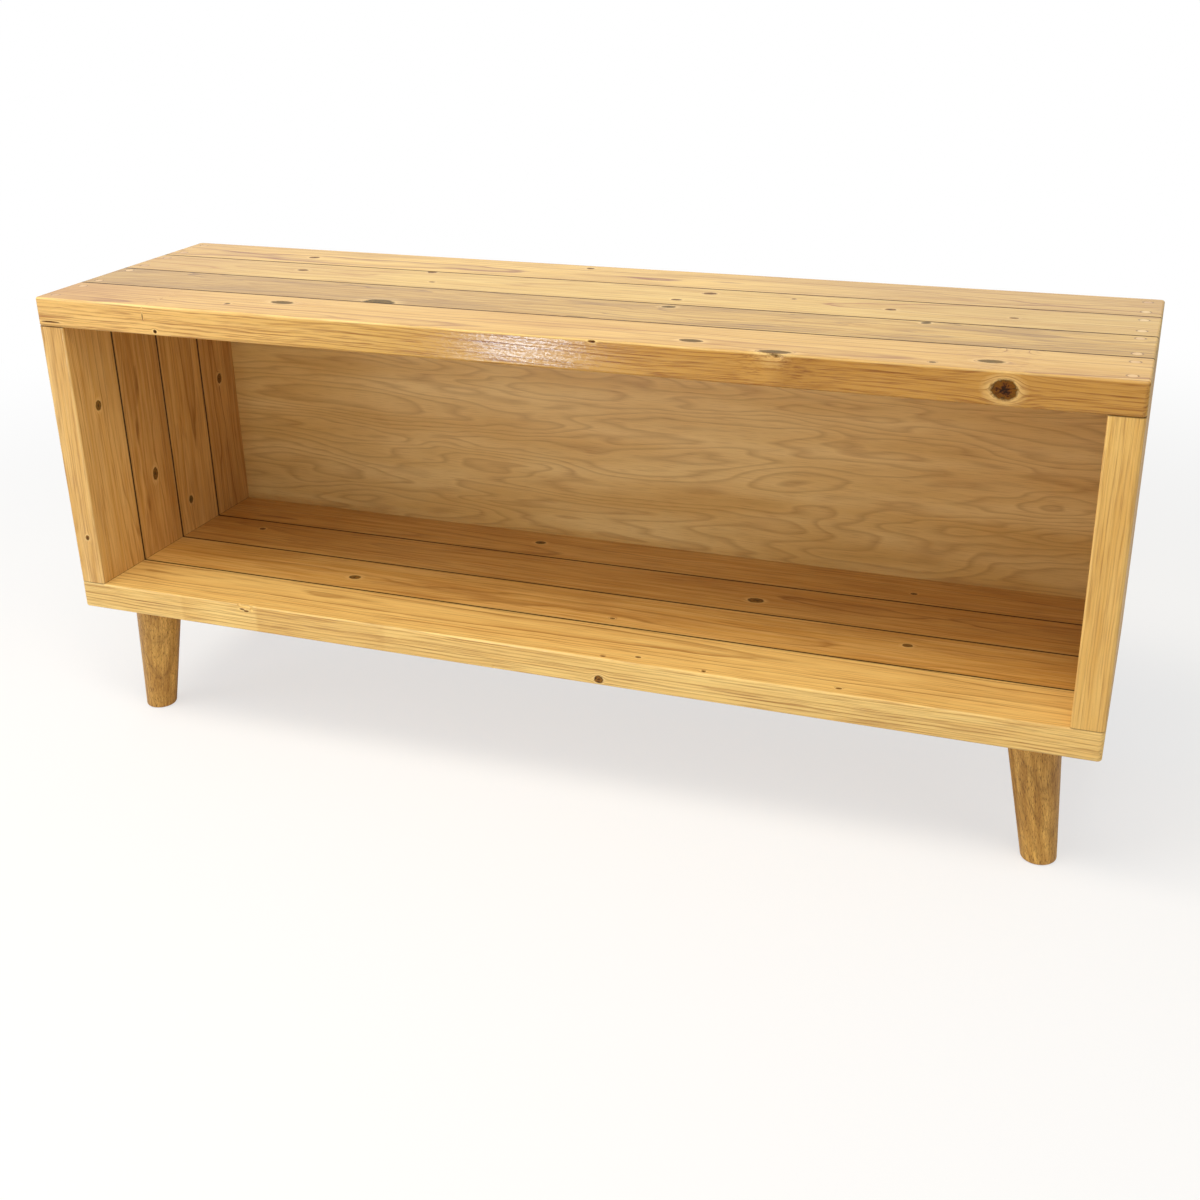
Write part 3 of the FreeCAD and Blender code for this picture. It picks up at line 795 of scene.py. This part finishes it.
def levelBoard(name, row, low, high):
    piece = startBox(name, low, high)
    joints = jointsOf(row, low, high)

    def onJoint(point):
        return any(close(point.y, y) for y in joints)

    def jointEdge(a, b):
        return onJoint(a) and onJoint(b) and close(a.y, b.y)

    def cornerEdge(a, b):
        return close(a.x, b.x) and close(a.y, b.y) and not onJoint(a)

    def levelEdge(a, b):
        return close(a.z, b.z) and (close(a.z, low.z) or close(a.z, high.z)) and not jointEdge(a, b)

    bevel(piece, cornerEdge, slab["cornerRound"], slab["cornerSteps"])
    bevel(piece, levelEdge, slab["edgeRound"], slab["edgeSteps"])
    bevel(piece, jointEdge, slab["jointEasing"])
    divide(piece, lambda a, b: abs(a.x - b.x) > high.x / 2, slab["lengths"])

    # a sanding block never runs quite true along an arris
    outer = low.y if row == "front" else high.y

    def onArris(point):
        fromFace = abs(point.y - outer)
        fromLevel = min(abs(point.z - low.z), abs(point.z - high.z))
        return (slab["wobbleFrom"] < fromFace < slab["edgeRound"]
                and slab["wobbleFrom"] < fromLevel < slab["edgeRound"]
                and abs(point.x) < high.x - 2 * slab["cornerRound"])

    if row in ("front", "rear"):
        roughen(piece, onArris, slab["wobble"], slab["seed"])
    return piece


# Boards of the two sides
side = {
    "outerRound": 5 * mm, "innerRound": 2.5 * mm, "jointEasing": 0.8 * mm,
    "roundSteps": 5, "lengths": 32, "wobble": 0.22 * mm, "wobbleFrom": 0.3 * mm, "seed": 5,
}


def uprightBoard(name, row, low, high):
    piece = startBox(name, low, high)
    outerX, innerX = (low.x, high.x) if low.x < 0 else (high.x, low.x)
    freeY = low.y if row == "front" else high.y
    joints = jointsOf(row, low, high)

    def standing(a, b):
        return close(a.x, b.x) and close(a.y, b.y)

    def onArris(point):
        fromX = min(abs(point.x - low.x), abs(point.x - high.x))
        fromY = abs(point.y - freeY)
        return (side["wobbleFrom"] < fromX < side["outerRound"]
                and side["wobbleFrom"] < fromY < side["outerRound"]
                and low.z + tiny < point.z < high.z - tiny)

    if row in ("front", "rear"):
        for x, size in ((outerX, side["outerRound"]), (innerX, side["innerRound"])):
            bevel(piece, lambda a, b: standing(a, b) and close(a.y, freeY) and close(a.x, x),
                  size, side["roundSteps"])
    bevel(piece, lambda a, b: standing(a, b) and any(close(a.y, y) for y in joints), side["jointEasing"])
    divide(piece, lambda a, b: abs(a.z - b.z) > (high.z - low.z) / 2, side["lengths"])
    if row in ("front", "rear"):
        roughen(piece, onArris, side["wobble"], side["seed"])
    return piece


slabs = [
    ("top", "topBoard", topBoards, level, levelBoard),
    ("bottom", "bottomBoard", bottomBoards, level, levelBoard),
    ("left_side", "leftBoard", leftBoards, upright, uprightBoard),
    ("right_side", "rightBoard", rightBoards, upright, uprightBoard),
]
for slabName, pieceName, looks, turn, build in slabs:
    for row in rowNames:
        node = slabName + "_board_" + row
        low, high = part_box(node)
        name = pieceName + row.capitalize()
        piece = build(name, row, low, high)
        cutters = boresFor(slabName, low, high)
        if row == "rear":
            cutters.append(rebateCutter())
        carve(piece, cutters)
        if turn == level:
            for cutter in marksFor(low, high):
                carve(piece, [cutter])
        centre = (low + high) / 2 / mm
        look = dict(plainBoard, **looks[row])
        look["joint"] = {"front": 1, "rear": -1}.get(row, "both")
        look["halfWidth"] = (high.y - low.y) / 2 / mm
        if slabName == "top":
            inBoard = [middle(box) / mm for box in plugBoxes if overlaps(box, low, high)]
            look["plugs"] = sorted({round(p.y - centre.y, 2) for p in inBoard})
            look["plugReach"] = max(p.x for p in inBoard)
        if turn == upright:
            look["ends"] = (high.z - low.z) / 2 / mm
        material = makePine("lacqueredPine" + name[0].upper() + name[1:], centre, turn, look)
        finishPiece(piece, material, [node])
    print(slabName, "boards made")


# Plugs over the top's screws: pale pine, trimmed flush with the boards and lacquered with them
plugs = {"sides": 40, "rim": 0.25 * mm, "rimSteps": 2, "sunk": 0.1 * mm}


def makePlugWood():
    # plugs cut across the grain of a paler pine, so they read as light discs
    material, add, place = newMaterial("lacqueredPinePlug")
    fine = add("Mapping", {"Vector": place, "Scale": perFeature((25 * mm, 1.1 * mm, 1.1 * mm))})
    fibre = add("TexNoise", [fine, 1.0, 3.0])
    cell = add("Mapping", {"Vector": place, "Scale": perFeature((40 * mm, 40 * mm, math.inf))})
    each = add("TexNoise", [cell, 1.0, 0.0])
    # those of the left end took more stain
    alongTop = add("SeparateXYZ", [place])
    stained = add("MapRange", [alongTop, -0.5, 0.5, 0.22, 0.0])
    each = add("Math ADD", [each, stained])
    mixed = add("Math MULTIPLY_ADD", [fibre, 0.5, each])
    colour = add("ValToRGB", [mixed], stops=((0.45, "#E8C682"), (0.75, "#DAAE66"), (1.0, "#C49450")))
    bumped = add("Bump", {"Strength": 0.3, "Distance": 0.05 * mm, "Height": fibre})
    shader = add("BsdfPrincipled", {
        "Base Color": colour, "Roughness": 0.45, "Normal": bumped, "Specular IOR Level": 0.2,
        "Coat Weight": 0.6, "Coat Roughness": 0.14})
    add("OutputMaterial", {"Surface": shader})
    return material


random.seed(7)
made = []
for box in plugBoxes:
    at = middle(box)
    top = box[1].z - random.uniform(0, plugs["sunk"])
    radius = (box[1].x - box[0].x) / 2
    plug = startRod("plug", Vector((at.x, at.y, box[0].z)), Vector((at.x, at.y, top)), radius,
                    sides=plugs["sides"])
    bevel(plug, lambda a, b: close(a.z, b.z) and a.z > at.z, plugs["rim"], plugs["rimSteps"])
    made.append(plug)
finishPiece(joined(made, "topScrewPlugs"), makePlugWood(), ["top_screw_plugs"])
print("plugs made")


# Back panel: birch plywood, screwed into its rebate
panel = {
    "cornerRound": 9 * mm, "cornerSteps": 8, "edge": 0.4 * mm, "edgeSteps": 2, "plies": 7, "rings": 26.0,
    "seatSides": 32, "holeRadius": 1.8 * mm, "holeDepth": 5,  # in head radii
}


def makePlywood():
    # rotary-cut birch veneer under the case's honey lacquer: wide wandering figure, striped edges
    material, add, case = newMaterial("lacqueredBirchPlywood")
    place = add("Mapping", {"Vector": case, "Scale": (1000, 1000, 1000)})
    slow = add("Mapping", {"Vector": place, "Scale": perFeature((620, 400, 95))})
    hills = add("TexNoise", {
        "Vector": slow, "Scale": 1.0, "Detail": 3.0, "Roughness": 0.45, "Distortion": 0.3})
    rings = add("Math MULTIPLY", [hills, panel["rings"]])
    ring = add("Math FRACT", [rings])
    line = add("ValToRGB", [ring], stops=((0.0, 0.3), (0.08, 0.0), (0.6, 0.12), (0.9, 0.7), (1.0, 0.3)))
    fine = add("Mapping", {"Vector": place, "Scale": perFeature((35, 1, 0.9))})
    fibre = add("TexNoise", [fine, 1.0, 2.0])
    soft = add("Mapping", {"Vector": place, "Scale": perFeature((300, 1, 40))})
    cloud = add("TexNoise", [soft, 1.0, 2.0])
    tone = add("MapRange", [cloud, 0.35, 0.65])
    colour = add("Mix", [tone, "#F0CC82", "#E0B464"])
    lines = add("Math MULTIPLY", [line, 0.55])
    colour = add("Mix", [lines, colour, "#A8702E"])
    fleck = add("MapRange", [fibre, 0.5, 0.8, 0, 0.45])
    colour = add("Mix MULTIPLY", [fleck, colour, "#B07A42"])
    # veneers show only where the sheet was sawn
    normal = add("NewGeometry", output=1)
    facing = add("SeparateXYZ", [normal], output=1)
    facing = add("Math ABSOLUTE", [facing])
    sawn = add("MapRange", [facing, 0.5, 0.2, 0.0, 1.0])
    depth = add("SeparateXYZ", [place], output=1)
    depth = add("MapRange", [depth, panelLow.y / mm, panelHigh.y / mm, 0, panel["plies"]])
    ply = add("Math MODULO", [depth, 2.0])
    ply = add("Math GREATER_THAN", [ply, 1.0])
    stripe = add("Mix", [ply, "#D8B27A", "#8A5E34"])
    colour = add("Mix", [sawn, colour, stripe])
    bumped = add("Bump", {"Strength": 0.3, "Distance": 0.06 * mm, "Height": fibre})
    shader = add("BsdfPrincipled", {
        "Base Color": colour, "Roughness": 0.48, "Normal": bumped, "Specular IOR Level": 0.3,
        "Coat Weight": 0.3, "Coat Roughness": 0.3})
    add("OutputMaterial", {"Surface": shader})
    return material


backPanel = startBox("backPanel", panelLow, panelHigh)
bevel(backPanel, lambda a, b: close(a.x, b.x) and close(a.z, b.z), panel["cornerRound"],
      panel["cornerSteps"])
bevel(backPanel, lambda a, b: close(a.y, b.y), panel["edge"], panel["edgeSteps"])
seats, holes = [], []
inward = Vector((0, -1, 0))
for box in solids["back_panel_screws"]:
    headRadius = (box[1].x - box[0].x) / 2 + fasteners["clearance"]
    rear = Vector((middle(box).x, panelHigh.y, middle(box).z))
    seats.append(seatCutter(rear, inward, headRadius, panel["seatSides"]))
    holes.append(startRod(
        "hole", rear - inward * fasteners["seatReach"], rear + inward * headRadius * panel["holeDepth"],
        panel["holeRadius"]))
carve(backPanel, seats)
carve(backPanel, holes)
finishPiece(backPanel, makePlywood(), ["back_panel"])
print("back panel made")


# Screws: a countersunk head with a cross recess on a plain shank
screw = {
    "sides": 36, "pointShare": 1.6,  # length of the point in radii
    "cross": (1.12, 0.26, 1.0), "crossTaper": (0.35, 0.7, 1),  # the recess in head radii, and its narrow end
}
screwSets = [
    {"name": "topScrews", "node": "top_screws", "axis": 2, "diameter": 4.2 * mm, "headUp": True},
    {"name": "bottomScrews", "node": "bottom_screws", "axis": 2, "diameter": 4.2 * mm, "headUp": False},
    {"name": "backPanelScrews", "node": "back_panel_screws", "axis": 1, "diameter": 3.5 * mm, "headUp": True},
    {"name": "legPlateScrews", "node": "leg_plate_screws", "axis": 2, "diameter": 4.0 * mm, "headUp": False},
]


def makeZinc(name, light, dark, rough):
    # zinc plating over pressed or rolled steel: soft metal shine with a faint cloudy bloom
    material, add, place = newMaterial(name)
    coarse = add("Mapping", {"Vector": place, "Scale": perFeature((4 * mm, 4 * mm, 4 * mm))})
    bloom = add("TexNoise", [coarse, 1.0, 4.0])
    fine = add("Mapping", {"Vector": place, "Scale": perFeature((0.4 * mm, 0.4 * mm, 4 * mm))})
    scratch = add("TexNoise", [fine, 1.0, 2.0])
    tone = add("MapRange", [bloom, 0.35, 0.68])
    colour = add("Mix", [tone, light, dark])
    gloss = add("MapRange", [bloom, 0, 1, rough - 0.1, rough + 0.14])
    bumped = add("Bump", {"Strength": 0.2, "Distance": 0.03 * mm, "Height": scratch})
    shader = add("BsdfPrincipled", {
        "Base Color": colour, "Metallic": 1.0, "Roughness": gloss, "Normal": bumped})
    add("OutputMaterial", {"Surface": shader})
    return material


def makeScrew(name, head, point, headRadius, radius):
    # from the middle of the head's flat face to the tip
    run = (point - head).normalized()
    coneEnd = head + run * (headRadius - radius)
    shankEnd = point - run * (radius * screw["pointShare"])
    cone = startRod("head", head, coneEnd, headRadius, radius, screw["sides"])
    shape(cone, "FACE", lambda c, n: n.dot(run) > 0.9, (
        bpy.ops.mesh.extrude_region_move, {"TRANSFORM_OT_translate": {"value": shankEnd - coneEnd}}), (
        bpy.ops.mesh.extrude_region_move, {"TRANSFORM_OT_translate": {"value": point - shankEnd}}), (
        bpy.ops.mesh.merge, {"type": "CENTER"}))
    square = run.to_track_quat("Z", "Y").to_matrix()
    half = Vector(screw["cross"]) * headRadius / 2
    blades = []
    for turn in (0, 90):  # the recess is two crossed blades
        blade = startBox("blade", -half, half)
        shape(blade, "FACE", lambda c, n: n.z > 0.9, (
            bpy.ops.transform.resize, {"value": screw["crossTaper"]}))
        blade.matrix_world = Matrix.Translation(head) @ (
            square @ Euler((0, 0, math.radians(turn))).to_matrix()).to_4x4()
        activate(blade)
        bpy.ops.object.transform_apply()
        blades.append(blade)
    for blade in blades:
        carve(cone, [blade])
    cone.name = name
    return cone


def screwsFor(kind, material):
    # one screw is made, then copied to each of the node's places, each copy with its own mesh
    boxes = solids[kind["node"]]
    low, high = boxes[0]
    axis = kind["axis"]
    head, point = middle(boxes[0]), middle(boxes[0])
    head[axis], point[axis] = (high[axis], low[axis]) if kind["headUp"] else (low[axis], high[axis])
    other = (axis + 1) % 3
    first = makeScrew(kind["name"], head, point, (high[other] - low[other]) / 2, kind["diameter"] / 2)
    made = [first]
    for box in boxes[1:]:
        copy = copyOf(first)
        copy.location = middle(box) - middle(boxes[0])
        bpy.ops.object.transform_apply()
        made.append(copy)
    finishPiece(joined(made, kind["name"]), material, [kind["node"]], angle=30)


zincScrew = makeZinc("brightZincScrew", "#E4E2DA", "#A8A498", 0.3)
zincPlate = makeZinc("galvanisedPlate", "#C9CCCF", "#A7ABB0", 0.4)
zincBolt = makeZinc("zincPlatedBolt", "#C2C5C8", "#9DA1A6", 0.36)
for kind in screwSets:
    screwsFor(kind, zincScrew)
print("screws made")


# Legs: turned from darker hardwood, each leaning outwards along the case
leg = {
    "splay": 7, "topRadius": 29.5 * mm, "footRadius": 19.5 * mm, "topRound": 2 * mm, "topSteps": 4,
    "footRound": 3.5 * mm, "footSteps": 5,
    "sides": 72, "lengths": 22, "wobble": 0.12 * mm, "steadyEnds": 15 * mm,
    "below": 8 * mm,  # how far the rod runs below the floor before it is sawn level
    "boreRadius": 4.05 * mm, "bore": (5, -41),  # mm along the leg from its seat
    "seeds": (4, 15, 10, 21),
}


def makeLegWood(name, seat, turn, seed):
    # stained oak under lacquer: brown with long darker bands and short dark pores
    material, add, case = newMaterial(name)
    spin = Euler(turn).to_matrix()
    place = add("Mapping", {
        "Vector": case, "Location": -(spin @ Vector(seat)), "Rotation": turn,
        "Scale": (1000, 1000, 1000)})
    slow = add("Mapping", {
        "Vector": place, "Location": (seed, seed, 0), "Scale": perFeature((90, 30, 30))})
    bend = add("TexNoise", [slow, 1.0, 1.5], output=1)
    bent = add("VectorMath MULTIPLY_ADD", [bend, (4, 4, 4), place])
    stem = add("Mapping TEXTURE", {
        "Vector": bent, "Location": (0, 34, 12), "Rotation": (0, 0.09, 0.12), "Scale": (endless, 6.2, 6.2)})
    time = add("VectorMath LENGTH", [stem])
    ring = add("Math FRACT", [time])
    line = add("ValToRGB", [ring], stops=((0.0, 0.85), (0.08, 0.3), (0.4, 0.05), (0.88, 0.2), (1.0, 0.85)))
    fine = add("Mapping", {"Vector": bent, "Scale": perFeature((22, 1, 1))})
    fibre = add("TexNoise", [fine, 1.0, 3.0, 0.65])
    short = add("Mapping", {"Vector": bent, "Scale": perFeature((5, 0.7, 0.7))})
    pore = add("TexNoise", [short, 1.0, 1.0])
    pore = add("MapRange", [pore, 0.56, 0.7, 0, 0.75])
    band = add("Mapping", {
        "Vector": bent, "Location": (seed * 2, 0, 0), "Scale": perFeature((120, 7, 7))})
    band = add("TexNoise", [band, 1.0, 2.0])
    tone = add("MapRange", [band, 0.35, 0.65])
    colour = add("Mix", [tone, "#E2B058", "#B5843A"])
    lines = add("Math MULTIPLY", [line, 0.5])
    colour = add("Mix", [lines, colour, "#7A501C"])
    grainy = add("MapRange", [fibre, 0.42, 0.72, 0, 0.6])
    colour = add("Mix MULTIPLY", [grainy, colour, "#A0743A"])
    colour = add("Mix", [pore, colour, "#553410"])
    relief = add("Math SUBTRACT", [fibre, pore])
    bumped = add("Bump", {"Strength": 0.4, "Distance": 0.1 * mm, "Height": relief})
    shader = add("BsdfPrincipled", {
        "Base Color": colour, "Roughness": 0.5, "Normal": bumped, "Specular IOR Level": 0.15,
        "Coat Weight": 0.35, "Coat Roughness": 0.2})
    add("OutputMaterial", {"Surface": shader})
    return material


def makeLeg(name, node, boltNode, seed):
    # the bolt's box gives the leg's axis: its middle and its lean
    low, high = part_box(node)
    boltMiddle = (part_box(boltNode)[0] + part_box(boltNode)[1]) / 2
    outward = 1 if boltMiddle.x > 0 else -1
    angle = math.radians(leg["splay"])
    axis = Vector((-outward * math.sin(angle), 0, math.cos(angle)))
    top = high.z - leg["topRadius"] * math.sin(angle)  # the sawn top leans, so its outer rim is highest
    seat = boltMiddle + axis * ((top - boltMiddle.z) / axis.z)
    foot = seat - axis * ((seat.z + leg["below"]) / axis.z)
    taper = (leg["topRadius"] - leg["footRadius"]) / (seat.z / axis.z)
    footRadius = leg["footRadius"] - taper * leg["below"] / axis.z
    piece = startRod(name, foot, seat, footRadius, leg["topRadius"], leg["sides"])

    def atTop(point):
        return abs((point - seat).dot(axis)) < tiny

    bevel(piece, lambda a, b: atTop(a) and atTop(b), leg["topRound"], leg["topSteps"])
    shape(piece, "FACE", lambda c, n: True, (
        bpy.ops.mesh.bisect, {
            "plane_co": (0, 0, 0), "plane_no": (0, 0, 1), "use_fill": True, "clear_inner": True}))
    bevel(piece, lambda a, b: abs(a.z) < tiny and abs(b.z) < tiny, leg["footRound"], leg["footSteps"])
    divide(piece, lambda a, b: (a - b).length > seat.z / 2, leg["lengths"])
    roughen(piece, lambda p: leg["steadyEnds"] < p.z < seat.z - leg["steadyEnds"], leg["wobble"], seed)
    boreTop, boreEnd = [seat + axis * n * mm for n in leg["bore"]]
    carve(piece, [startRod("bore", boreTop, boreEnd, leg["boreRadius"])])
    turn = (0, math.radians(90) + outward * angle, 0)
    material = makeLegWood("lacqueredOak" + name[0].upper() + name[1:], seat / mm, turn, seed)
    finishPiece(piece, material, [node], angle=50)


for (rowName, sideName), seed in zip(legNames, leg["seeds"]):
    node = rowName + "_" + sideName + "_leg"
    makeLeg(rowName + sideName.capitalize() + "Leg", node, node + "_bolt", seed)
print("legs made")


# Pressed plates, bolts, bushes and dowels keep their CAD shapes
def makeBeech():
    # raw beech: pinkish tan with short dark flecks
    material, add, place = newMaterial("rawBeech")
    fine = add("Mapping", {"Vector": place, "Scale": perFeature((0.8 * mm, 12 * mm, 0.8 * mm))})
    fibre = add("TexNoise", [fine, 1.0, 2.0])
    colour = add("ValToRGB", [fibre], stops=((0.35, "#D9B48C"), (0.6, "#C99F74"), (0.75, "#A67A50")))
    shader = add("BsdfPrincipled", {"Base Color": colour, "Roughness": 0.65})
    add("OutputMaterial", {"Surface": shader})
    return material


beech = makeBeech()
for name in slabNames:
    paint(nodes[name + "_dowels"], beech)
for rowName, sideName in legNames:
    node = rowName + "_" + sideName + "_leg"
    paint(nodes[node + "_plate"], zincPlate)
    paint(nodes[node + "_bolt"], zincBolt)
    paint(nodes[node + "_bush"], zincBolt)
print("fittings dressed")


# Camera at the photograph's angle
view = {
    "at": (0.6476, -1.6401, 0.9663), "lens": 45.92, "sensor": 36,
    "right": (0.93605, 0.35138, -0.01846), "down": (0.12709, -0.38654, -0.91348),
    "forward": (-0.32811, 0.85271, -0.40648),
}
camera = bpy.data.objects.new("camera", bpy.data.cameras.new("camera"))
bpy.context.scene.collection.objects.link(camera)
axes = Matrix([Vector(view["right"]), -Vector(view["down"]), -Vector(view["forward"])]).transposed()
camera.matrix_world = Matrix.Translation(view["at"]) @ axes.to_4x4()
camera.data.lens = view["lens"]
camera.data.sensor_width = view["sensor"]
bpy.context.scene.camera = camera


# Stage: pale floor that fades to white and is clear from beneath, white surround, soft lamps
studio = {
    "floorSize": 30, "floorColour": "#F2F2F2", "nearWhite": 0.62, "fadeFrom": 0.8, "fadeTo": 2.4,
    "surround": "#A6AAAE",
}
lamps = [
    {"name": "ceilingGlow", "at": (-0.36, -0.9, 2.5), "to": (0, 0.1, 0.4), "size": (3.0, 0.6), "power": 49,
     "colour": "#FFF4E2", "mirrored": False},
    {"name": "tubeAbove", "at": (-0.8, -0.75, 2.5), "to": (0, -0.2, 0.5), "size": (2.8, 0.09), "power": 8,
     "colour": "#FFF4E0"},
    {"name": "softRight", "at": (2.6, -1.4, 1.5), "to": (0, 0, 0.35), "size": (1.4, 1.4), "power": 8.8,
     "colour": "#FFFFFF"},
    {"name": "softLeft", "at": (-2.45, -1.9, 1.1), "to": (-0.2, 0, 0.35), "size": (1.6, 1.2), "power": 20,
     "colour": "#F2F4FF"},
    {"name": "lowGlare", "at": (-0.64, -1.64, 0.16), "to": (0, -0.175, 0.55), "size": (0.18, 0.04),
     "power": 3.05, "colour": "#D4EAFF"},
]

bpy.ops.object.select_all(action="DESELECT")
bpy.ops.mesh.primitive_plane_add(size=studio["floorSize"])
floor = placed("floor")
material, add, place = newMaterial("paintedFloor")
seen = add("LightPath")
distance = add("VectorMath LENGTH", [place])
share = add("MapRange SMOOTHSTEP", [
    distance, studio["fadeFrom"], studio["fadeTo"], studio["nearWhite"], 1.0])
share = add("Math MULTIPLY", [seen, share])
matt = add("BsdfDiffuse", {"Color": studio["floorColour"]})
white = add("Emission", {"Color": "#FFFFFF", "Strength": 1.0})
mixed = add("MixShader", [share, matt, white])
beneath = add("NewGeometry", output=6)
clear = add("BsdfTransparent")
mixed = add("MixShader", [beneath, mixed, clear])
add("OutputMaterial", {"Surface": mixed})
paint(floor, material)

world = bpy.data.worlds.new("surround")
bpy.context.scene.world = world
add = emptied(world)
seen = add("LightPath")
mirrored = add("LightPath", output=3)
through = add("LightPath", output=6)
seen = add("Math ADD", [seen, mirrored])
seen = add("Math ADD", [seen, through], use_clamp=True)
colour = add("Mix", [seen, studio["surround"], "#FFFFFF"])
background = add("Background", {"Color": colour, "Strength": 1.0})
add("OutputWorld", {"Surface": background})

for lamp in lamps:
    data = bpy.data.lights.new(lamp["name"], "AREA")
    data.shape = "RECTANGLE"
    data.size, data.size_y = lamp["size"]
    data.energy = lamp["power"]
    data.color = linear(lamp["colour"])[:3]
    made = bpy.data.objects.new(lamp["name"], data)
    bpy.context.scene.collection.objects.link(made)
    made.location = lamp["at"]
    made.rotation_euler = (Vector(lamp["to"]) - Vector(lamp["at"])).to_track_quat("-Z", "Y").to_euler()
    made.visible_camera = False
    made.visible_glossy = lamp.get("mirrored", True)
bpy.context.scene.view_settings.view_transform = "Standard"
print("stage set")
